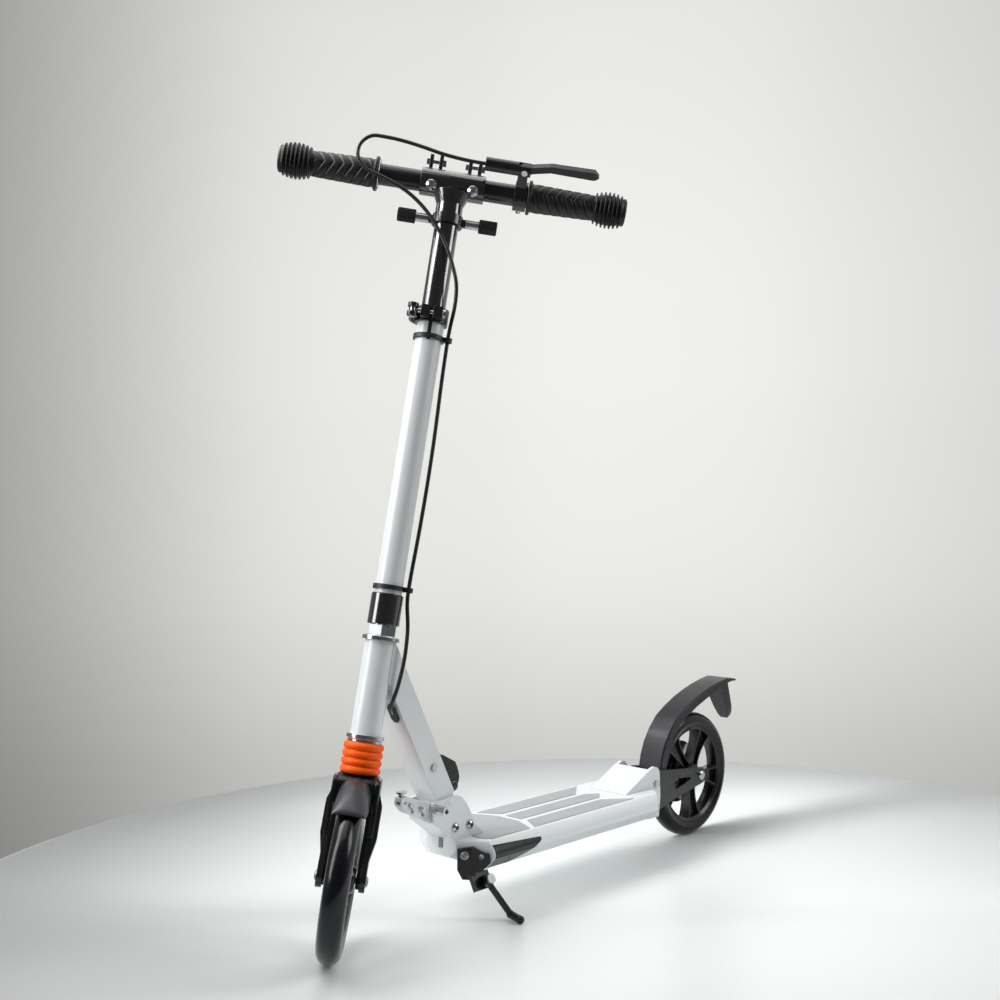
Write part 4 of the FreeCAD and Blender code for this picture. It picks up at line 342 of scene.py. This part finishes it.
def mudguard():
    """A hood between the fork's legs: a straight front edge that rises to a dome at the crown."""
    data = bmesh.new()
    rows, columns = 24, 40
    front, back, base, half_width, climb, skin = 0.065, -0.006, 0.080, 0.0203, 0.0355, 0.0022
    shells = []
    for inset in (0.0, skin):
        grid = []
        for i in range(rows + 1):
            part = i / rows
            rise = climb * math.sin(0.5 * math.pi * part) ** 0.75
            half = half_width - inset
            row = []
            for k in range(columns + 1):
                angle = math.pi * k / columns
                arch = math.sin(angle) ** (0.8 - 0.35 * part) if 0 < k < columns else 0.0
                height = base + 0.0025 * math.sin(angle) + rise * arch
                height -= inset * (0.3 + 0.7 * arch)
                spot = Vector((front + (back - front) * part, half * math.cos(angle), height))
                row.append(data.verts.new(WHEEL_COLUMN @ spot))
            grid.append(row)
        shells.append(grid)
    for grid in shells:
        for a, b in zip(grid, grid[1:]):
            for k in range(columns):
                data.faces.new((a[k], a[k + 1], b[k + 1], b[k]))
    outer, inner = shells
    for a, b in ((outer[0], inner[0]), (outer[-1], inner[-1])):
        for k in range(columns):
            data.faces.new((a[k], a[k + 1], b[k + 1], b[k]))
    for side in (0, -1):
        for i in range(rows):
            data.faces.new((outer[i][side], outer[i + 1][side], inner[i + 1][side], inner[i][side]))
    piece = add("front_mudguard", data, "fork", GREY)
    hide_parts("front_fender")


def bar_between(data, inner, outer, depths, place):
    """Adds a closed strip between two plan curves, with a half depth at each step."""
    rows = []
    for (a, b), depth in zip(zip(inner, outer), depths):
        rows.append([data.verts.new(place @ Vector((x, y, z)))
                     for x, y, z in ((*a, -depth), (*b, -depth), (*b, depth), (*a, depth))])
    for low, high in zip(rows, rows[1:]):
        for k in range(4):
            n = (k + 1) % 4
            data.faces.new((low[k], low[n], high[n], high[k]))
    data.faces.new(rows[0][::-1])
    data.faces.new(rows[-1])


SPOKES, SPOKE_STEPS, HALF_RIB, HALF_WEB = 5, 14, 0.0016, 0.0030


def rim(name, place, body, node, turn):
    """A cast rim: ring, hub and channel spokes, each a web between two ribs that flare."""
    ring = [(0.0715, -0.0095), (0.0760, -0.0125), (0.0779, -0.0125), (0.0779, 0.0125), (0.0760, 0.0125),
            (0.0715, 0.0095), (0.0708, 0.0060), (0.0708, -0.0060), (0.0715, -0.0095)]
    data = lathe(ring, place, 160)
    hub = lathe([(0, -0.0168), (0.0125, -0.0168), (0.0148, -0.0150), (0.0175, -0.0100), (0.0185, 0.0),
                 (0.0175, 0.0100), (0.0148, 0.0150), (0.0125, 0.0168), (0, 0.0168)], place, 72)
    for k in range(SPOKES):
        spin = place @ Matrix.Rotation(turn + 2 * math.pi * k / SPOKES, 4, "Z")
        middle = [((0.012 + 0.0605 * i / SPOKE_STEPS), 0.0066 + 0.0082 * (i / SPOKE_STEPS) ** 2.4,
                   i / SPOKE_STEPS) for i in range(SPOKE_STEPS + 1)]
        for side in (1, -1):
            bar_between(data, [(x, side * (y - HALF_RIB)) for x, y, _ in middle],
                        [(x, side * (y + HALF_RIB)) for x, y, _ in middle],
                        [0.0105 - 0.0030 * math.sin(math.pi * part) for _, _, part in middle], spin)
        bar_between(data, [(x, -y) for x, y, _ in middle], [(x, y) for x, y, _ in middle],
                    [HALF_WEB] * (SPOKE_STEPS + 1), spin)
    mesh = bpy.data.meshes.new("hub")
    hub.to_mesh(mesh)
    hub.free()
    data.from_mesh(mesh)
    bpy.data.meshes.remove(mesh)
    piece = add(name, data, body, GLOSS_BLACK, smooth=False)
    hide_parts(node)


def axle(name, place, body, node, reach):
    """A through bolt with low domed heads."""
    profile = [(0, -reach - 0.0030), (0.0035, -reach - 0.0029), (0.0058, -reach - 0.0018),
               (0.0064, -reach - 0.0004), (0.0064, -reach + 0.0006), (0.0039, -reach + 0.0006),
               (0.0039, reach - 0.0006), (0.0064, reach - 0.0006), (0.0064, reach + 0.0004),
               (0.0058, reach + 0.0018), (0.0035, reach + 0.0029), (0, reach + 0.0030)]
    piece = add(name, lathe(profile, place, 48), body, STEEL)
    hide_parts(node)


WHEEL_RADIUS = 0.100


def rear_point(ahead, up, left=0.0):
    """A point on the rear of the frame, from the ground below the rear wheel."""
    return REAR_WHEEL @ Vector((-ahead, up - WHEEL_RADIUS, left))


def rear_guard():
    """The rear guard: a channel that rises from its hinge, bends twice, and ends in a flap."""
    top = [(0.1040, 0.1180), (0.0987, 0.1420), (0.0895, 0.1630), (0.0757, 0.1817),
           (0.0580, 0.1995), (0.0340, 0.2130), (0.0080, 0.2245), (-0.0190, 0.2335),
           (-0.0450, 0.2405), (-0.0680, 0.2450), (-0.0880, 0.2480), (-0.1000, 0.2468),
           (-0.1125, 0.2445)]
    hem = [(0.0900, 0.1160), (0.0845, 0.1385), (0.0765, 0.1565), (0.0640, 0.1740),
           (0.0490, 0.1880), (0.0270, 0.2010), (0.0010, 0.2120), (-0.0240, 0.2210),
           (-0.0470, 0.2290), (-0.0670, 0.2355), (-0.0860, 0.2400), (-0.0985, 0.2420),
           (-0.1110, 0.2415)]
    half, wall, slope, rounding = 0.0220, 0.0030, 0.0022, 0.0018
    data = bmesh.new()
    rows = []
    for (a, b), (c, d) in zip(top, hem):
        depth = math.hypot(a - c, b - d)
        drops = [min(reach, 0.6 * depth) / depth for reach in (rounding, wall)]
        (e, f), (g, h) = [(a + (c - a) * part, b + (d - b) * part) for part in drops]
        profile = [(a, b, half - slope), (e, f, half), (c, d, half), (c, d, half - wall),
                   (g, h, half - wall)]
        profile += [(x, z, -y) for x, z, y in profile[::-1]]
        rows.append([data.verts.new(rear_point(x, z, y)) for x, z, y in profile])
    for low, high in zip(rows, rows[1:]):
        for k in range(len(low)):
            n = (k + 1) % len(low)
            data.faces.new((low[k], low[n], high[n], high[k]))
    data.faces.new(rows[0][::-1])
    data.faces.new(rows[-1])
    foot = [(0.0900, 0.1160), (0.1240, 0.1050), (0.1310, 0.1033), (0.1380, 0.1070),
            (0.1395, 0.1120), (0.1340, 0.1180), (0.1040, 0.1182)]
    for low, high in ((half - wall, half - 0.0002), (0.0002 - half, wall - half)):
        sides = [[data.verts.new(rear_point(x, z, y)) for x, z in foot] for y in (low, high)]
        data.faces.new(sides[0])
        data.faces.new(sides[1][::-1])
        for k in range(len(foot)):
            n = (k + 1) % len(foot)
            data.faces.new((sides[0][k], sides[0][n], sides[1][n], sides[1][k]))
    # The flap at four heights: inner edge, outer edge, half width.
    flap = [((-0.0720, 0.2425), (-0.0900, 0.2462), 0.0188),
            ((-0.0975, 0.1960), (-0.1110, 0.1990), 0.0135),
            ((-0.1050, 0.1830), (-0.1160, 0.1880), 0.0105),
            ((-0.1090, 0.1765), (-0.1170, 0.1805), 0.0070)]
    rows = []
    for (a, b), (c, d), wide in flap:
        rows.append([data.verts.new(rear_point(x, z, y)) for x, z, y in
                     ((a, b, wide), (c, d, wide), (c, d, -wide), (a, b, -wide))])
    for low, high in zip(rows, rows[1:]):
        for k in range(4):
            n = (k + 1) % 4
            data.faces.new((low[k], low[n], high[n], high[k]))
    data.faces.new(rows[0][::-1])
    data.faces.new(rows[-1])
    piece = add("rear_guard", data, "rear_fender", GUARD, smooth=False)
    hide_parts("rear_fender")


def lug_covers():
    """Black cheeks beside the fold lever, over the lugs that carry it."""
    pin, fold = Vector(joints["fold_lever_swing"]["pos_m"]), Vector(joints["fold"]["pos_m"])
    left = -Vector(joints["fold"]["axis"])
    reach = (pin - fold).normalized()
    behind, above = 0.0300, 0.0090
    slant = math.atan2(behind, above)
    ways = [reach * math.cos(slant) + left.cross(reach) * math.sin(slant) * side for side in (1, -1)]
    up = min(ways, key=lambda way: -way.z)
    place = basis(left.cross(up), left, up, pin)
    cheek = [(0.0060, 0.0062), (0.0, 0.0062), (-0.0044, 0.0044), (-0.0062, 0.0),
             (-0.0044, -0.0044), (0.0, -0.0062), (0.0060, -0.0050)]
    data = bmesh.new()
    for low, high in ((0.0123, 0.0157), (-0.0157, -0.0123)):
        prism(data, cheek, low, high, place, 0.0008)
    add("lug_covers", data, "front_frame", GLOSS_BLACK, smooth=False)


fork_cover()
mudguard()
rear_guard()
lug_covers()
FRONT_TURN, REAR_TURN, AXLE_REACH = 20, -12, 0.0295
rim("front_rim_cast", FRONT_WHEEL, "front_wheel", "front_rim", math.radians(FRONT_TURN))
rim("rear_rim_cast", REAR_WHEEL, "rear_wheel", "rear_rim", math.radians(REAR_TURN))
axle("front_axle_bolt", FRONT_WHEEL, "fork", "front_axle", AXLE_REACH)


# ---- soft parts as pieces of their own ----------------------------------------------

COLUMN = column_frame(Vector(joints["steering"]["pos_m"]))
LONGEST_EDGE = 0.008


def flexing(name, node, planes=(), fine=False):
    """A soft part's surface as a piece of its own; each plane takes the side it points to."""
    data = bmesh.new()
    data.from_mesh(frame["nodes"][node].data)
    bmesh.ops.remove_doubles(data, verts=data.verts[:], dist=1e-6)
    for point, way in planes:
        everything = data.verts[:] + data.edges[:] + data.faces[:]
        cut = bmesh.ops.bisect_plane(data, geom=everything, dist=1e-6, plane_co=point,
                                     plane_no=way, clear_outer=True)
        rim_edges = [item for item in cut["geom_cut"] if isinstance(item, bmesh.types.BMEdge)]
        bmesh.ops.edgeloop_fill(data, edges=rim_edges)
    for _ in range(3 if fine else 0):
        long_edges = [edge for edge in data.edges if edge.calc_length() > LONGEST_EDGE]
        bmesh.ops.subdivide_edges(data, edges=long_edges, cuts=1)
    mesh = bpy.data.meshes.new(name)
    data.to_mesh(mesh)
    data.free()
    for face in mesh.polygons:
        face.use_smooth = True
    mesh.set_sharp_from_angle(angle=SHARP)
    mesh.materials.clear()
    mesh.materials.append(OWN_FINISH.get(node, FINISHES[slot_of[node]]))
    piece = bpy.data.objects.new(name, mesh)
    bpy.context.scene.collection.objects.link(piece)
    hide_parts(node)
    return piece


BELLOWS_FOOT, SPRING_TOP = COLUMN @ Vector((0, 0, -0.0091)), COLUMN @ Vector((0, 0, 0.1707))
for name, node, body, joint, axis, anchor, keep in (
        ("bellows_folds", "bellows", "steering", "front_suspension", up_axis, BELLOWS_FOOT, 0.611),
        ("spring_coils", "suspension_spring", "steering", "front_suspension", up_axis,
         SPRING_TOP, 0.796),
        ("damper_block", "rear_damper", "deck", "rear_suspension", Vector((0, 0, 1)),
         Vector((0, 0, 0.0829)), 0.85)):
    soft = flexing(name, node)
    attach(soft, body)
    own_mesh(soft)

LOOP_CUT, TUBE_CUT, DECK_CUT = 0.737, 0.350, -0.100
loop_point, tube_point = COLUMN @ Vector((0, 0, LOOP_CUT)), COLUMN @ Vector((0, 0, TUBE_CUT))
loop = flexing("brake_cable_loop", "brake_cable_upper", [(loop_point, -up_axis)], True)
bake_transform(loop)
run = flexing("brake_cable_run", "brake_cable_upper",
              [(loop_point, up_axis), (tube_point, -up_axis)], True)
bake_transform(run)
tail = flexing("brake_cable_tail", "brake_cable_upper", [(tube_point, up_axis)], True)
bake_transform(tail)
deck_point = Vector((DECK_CUT, 0, 0))
fold_cable = flexing("brake_cable_fold", "brake_cable_lower",
                     [(deck_point, Vector((-1, 0, 0)))], True)
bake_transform(fold_cable)
rear_cable = flexing("brake_cable_rear", "brake_cable_lower",
                     [(deck_point, Vector((1, 0, 0)))], True)
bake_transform(rear_cable)


# ---- stage --------------------------------------------------------------------------

view = Vector((-0.7289, -0.6846, 0.0)).normalized()         # the way the camera looks
right = Vector((-0.6846, 0.7289, 0.0)).normalized()         # rightward in the picture
TABLE_COLOUR, TABLE_CENTRE = (0.86, 0.885, 0.885, 1), (-0.026, 0.035, 0)
WALL_DISTANCE, WALL_SPREAD, WALL_STEPS = 4, 100, 80
WALL_FOOT, WALL_TOP = -2.0, 6.0


def stage_mesh(name, data, material):
    """Links a mesh that belongs to the picture, not to the scooter."""
    mesh = bpy.data.meshes.new(name)
    data.to_mesh(mesh)
    data.free()
    for face in mesh.polygons:
        face.use_smooth = True
    obj = bpy.data.objects.new(name, mesh)
    bpy.context.scene.collection.objects.link(obj)
    mesh.materials.append(material)
    return obj


table_finish = bpy.data.materials.new("table_white")
table_finish.use_nodes = True
table_shader = table_finish.node_tree.nodes["Principled BSDF"]
table_shader.inputs["Base Color"].default_value = TABLE_COLOUR
table_shader.inputs["Roughness"].default_value = 0.32
table_shader.inputs["Specular IOR Level"].default_value = 0.35
table_top = [(0, 0), (0.935, 0), (0.942, -0.002), (0.944, -0.008), (0.944, -0.03), (0, -0.03)]
stage_mesh("table", lathe(table_top, Matrix.Translation(TABLE_CENTRE), 256), table_finish)

# The backdrop glows though it is no lamp. Its colour is painted light: an emission that falls off
# toward its sides and its bottom. It shows in reflections but lights no diffuse surface.
backdrop_painted_glow = bpy.data.materials.new("wall")
backdrop_painted_glow.use_nodes = True
tree = backdrop_painted_glow.node_tree
tree.nodes.clear()
out = tree.nodes.new("ShaderNodeOutputMaterial")
glow = tree.nodes.new("ShaderNodeEmission")
place = tree.nodes.new("ShaderNodeTexCoord").outputs["Object"]
split = tree.nodes.new("ShaderNodeSeparateXYZ")
tree.links.new(place, split.inputs["Vector"])
along = tree.nodes.new("ShaderNodeVectorMath")
along.operation = "DOT_PRODUCT"
along.inputs[1].default_value = (-0.6846, 0.7289, 0)
tree.links.new(place, along.inputs[0])


def ramp_of(value, low, high, stops):
    """A soft ramp of grey levels over a span of a value."""
    span = tree.nodes.new("ShaderNodeMapRange")
    span.inputs["From Min"].default_value = low
    span.inputs["From Max"].default_value = high
    tree.links.new(value, span.inputs["Value"])
    ramp = tree.nodes.new("ShaderNodeValToRGB")
    ramp.color_ramp.interpolation = "CARDINAL"
    for spot, level in stops:
        stop = {0.0: ramp.color_ramp.elements[0], 1.0: ramp.color_ramp.elements[-1]}.get(spot)
        stop = stop or ramp.color_ramp.elements.new(spot)
        stop.color = (level, level, level * 0.985, 1)
    tree.links.new(span.outputs["Result"], ramp.inputs["Fac"])
    return ramp.outputs["Color"]


# Painted light falloff across the backdrop: brightest just right of the middle, darker toward both
# sides, darkest at the left.
painted_falloff_across = ramp_of(along.outputs["Value"], -2.6, 2.6,
                   ((0.0, 0.26), (0.06, 0.34), (0.27, 0.735), (0.49, 0.85), (0.62, 0.875),
                    (0.75, 0.825), (0.90, 0.70), (1.0, 0.62)))
# Painted light falloff up the backdrop: darker at the bottom, brightest at about one and a half metres.
painted_falloff_up = ramp_of(split.outputs["Z"], -1.0, 3.0,
                 ((0.0, 0.62), (0.147, 0.75), (0.284, 0.92), (0.5, 0.99), (0.625, 1.0),
                  (0.945, 0.92), (1.0, 0.90)))
ramp = tree.nodes.new("ShaderNodeMix")
ramp.data_type = "RGBA"
ramp.blend_type = "MULTIPLY"
ramp.inputs["Factor"].default_value = 1
tree.links.new(painted_falloff_across, ramp.inputs["A"])
tree.links.new(painted_falloff_up, ramp.inputs["B"])
tree.links.new(ramp.outputs["Result"], glow.inputs["Color"])
tree.links.new(glow.outputs["Emission"], out.inputs["Surface"])


def backdrop():
    """The part of a tall cylinder that lies behind the scooter, seen from the camera."""
    data = bmesh.new()
    middle, spread = math.atan2(view.y, view.x), math.radians(WALL_SPREAD)
    columns = []
    for k in range(WALL_STEPS + 1):
        angle = middle - spread + 2 * spread * k / WALL_STEPS
        x, y = WALL_DISTANCE * math.cos(angle), WALL_DISTANCE * math.sin(angle)
        columns.append([data.verts.new((x, y, height)) for height in (WALL_FOOT, WALL_TOP)])
    for a, b in zip(columns, columns[1:]):
        data.faces.new((a[0], a[1], b[1], b[0]))
    return data


wall = stage_mesh("wall", backdrop(), backdrop_painted_glow)
wall.visible_diffuse = False
wall.visible_shadow = False


# ---- light and camera ---------------------------------------------------------------

world = bpy.data.worlds.new("studio")
bpy.context.scene.world = world
world.use_nodes = True
tree = world.node_tree
sky = tree.nodes["Background"]
facing = tree.nodes.new("ShaderNodeVectorMath")
facing.operation = "DOT_PRODUCT"
facing.inputs[1].default_value = tuple(view)
tree.links.new(tree.nodes.new("ShaderNodeTexCoord").outputs["Generated"], facing.inputs[0])
SKY_LEVELS, SKY_STRENGTH = ((0.0, 0.10), (0.4, 0.22), (0.6, 0.50), (1.0, 0.75)), 0.95
tree.links.new(ramp_of(facing.outputs["Value"], -1, 1, SKY_LEVELS), sky.inputs["Color"])
sky.inputs["Strength"].default_value = SKY_STRENGTH


def softbox(name, place, target, width, height, power):
    """A rectangular lamp aimed at a point; the power is in watts."""
    lamp = bpy.data.lights.new(name, "AREA")
    lamp.shape = "RECTANGLE"
    lamp.size, lamp.size_y = width, height
    lamp.energy = power
    obj = bpy.data.objects.new(name, lamp)
    bpy.context.scene.collection.objects.link(obj)
    obj.location = place
    obj.rotation_euler = (Vector(target) - Vector(place)).to_track_quat("-Z", "Y").to_euler()
    return obj


LEFT_WATTS, RIGHT_WATTS, FLOOR_WATTS, CEILING_WATTS = 40, 30, 13, 44
softbox("window_left", -right * 2.1 - view * 0.9 + Vector((0, 0, 1.5)), (0, 0, 0.5), 0.9, 1.9,
        LEFT_WATTS)
softbox("window_right", right * 2.4 - view * 0.5 + Vector((0, 0, 1.9)), (0, 0, 0.4), 1.2, 1.6,
        RIGHT_WATTS)
softbox("floor_left", Vector((0, 0, 1.5)) - right * 1.0 - view * 0.1, -right * 1.0 - view * 0.1,
        0.9, 0.9, FLOOR_WATTS)
softbox("ceiling", Vector((0, 0, 3.0)) - right * 0.8, (0, 0, 0), 3.0, 3.0, CEILING_WATTS)

LENS, SENSOR = 45.83, 36.0
EYE, PITCH, ROLL = (1.3719, 1.1923, 0.531), 0.0106, -0.0197
camera = bpy.data.cameras.new("camera")
camera.lens = LENS
camera.sensor_width = SENSOR
eye = bpy.data.objects.new("camera", camera)
bpy.context.scene.collection.objects.link(eye)
eye.location = EYE
look = (view * math.cos(PITCH) + Vector((0, 0, math.sin(PITCH)))).normalized()
turn = look.to_track_quat("-Z", "Y").to_matrix().to_4x4()
eye.rotation_euler = (turn @ Matrix.Rotation(ROLL, 4, "Z")).to_euler()
bpy.context.scene.camera = eye
bpy.context.scene.view_settings.view_transform = "Standard"
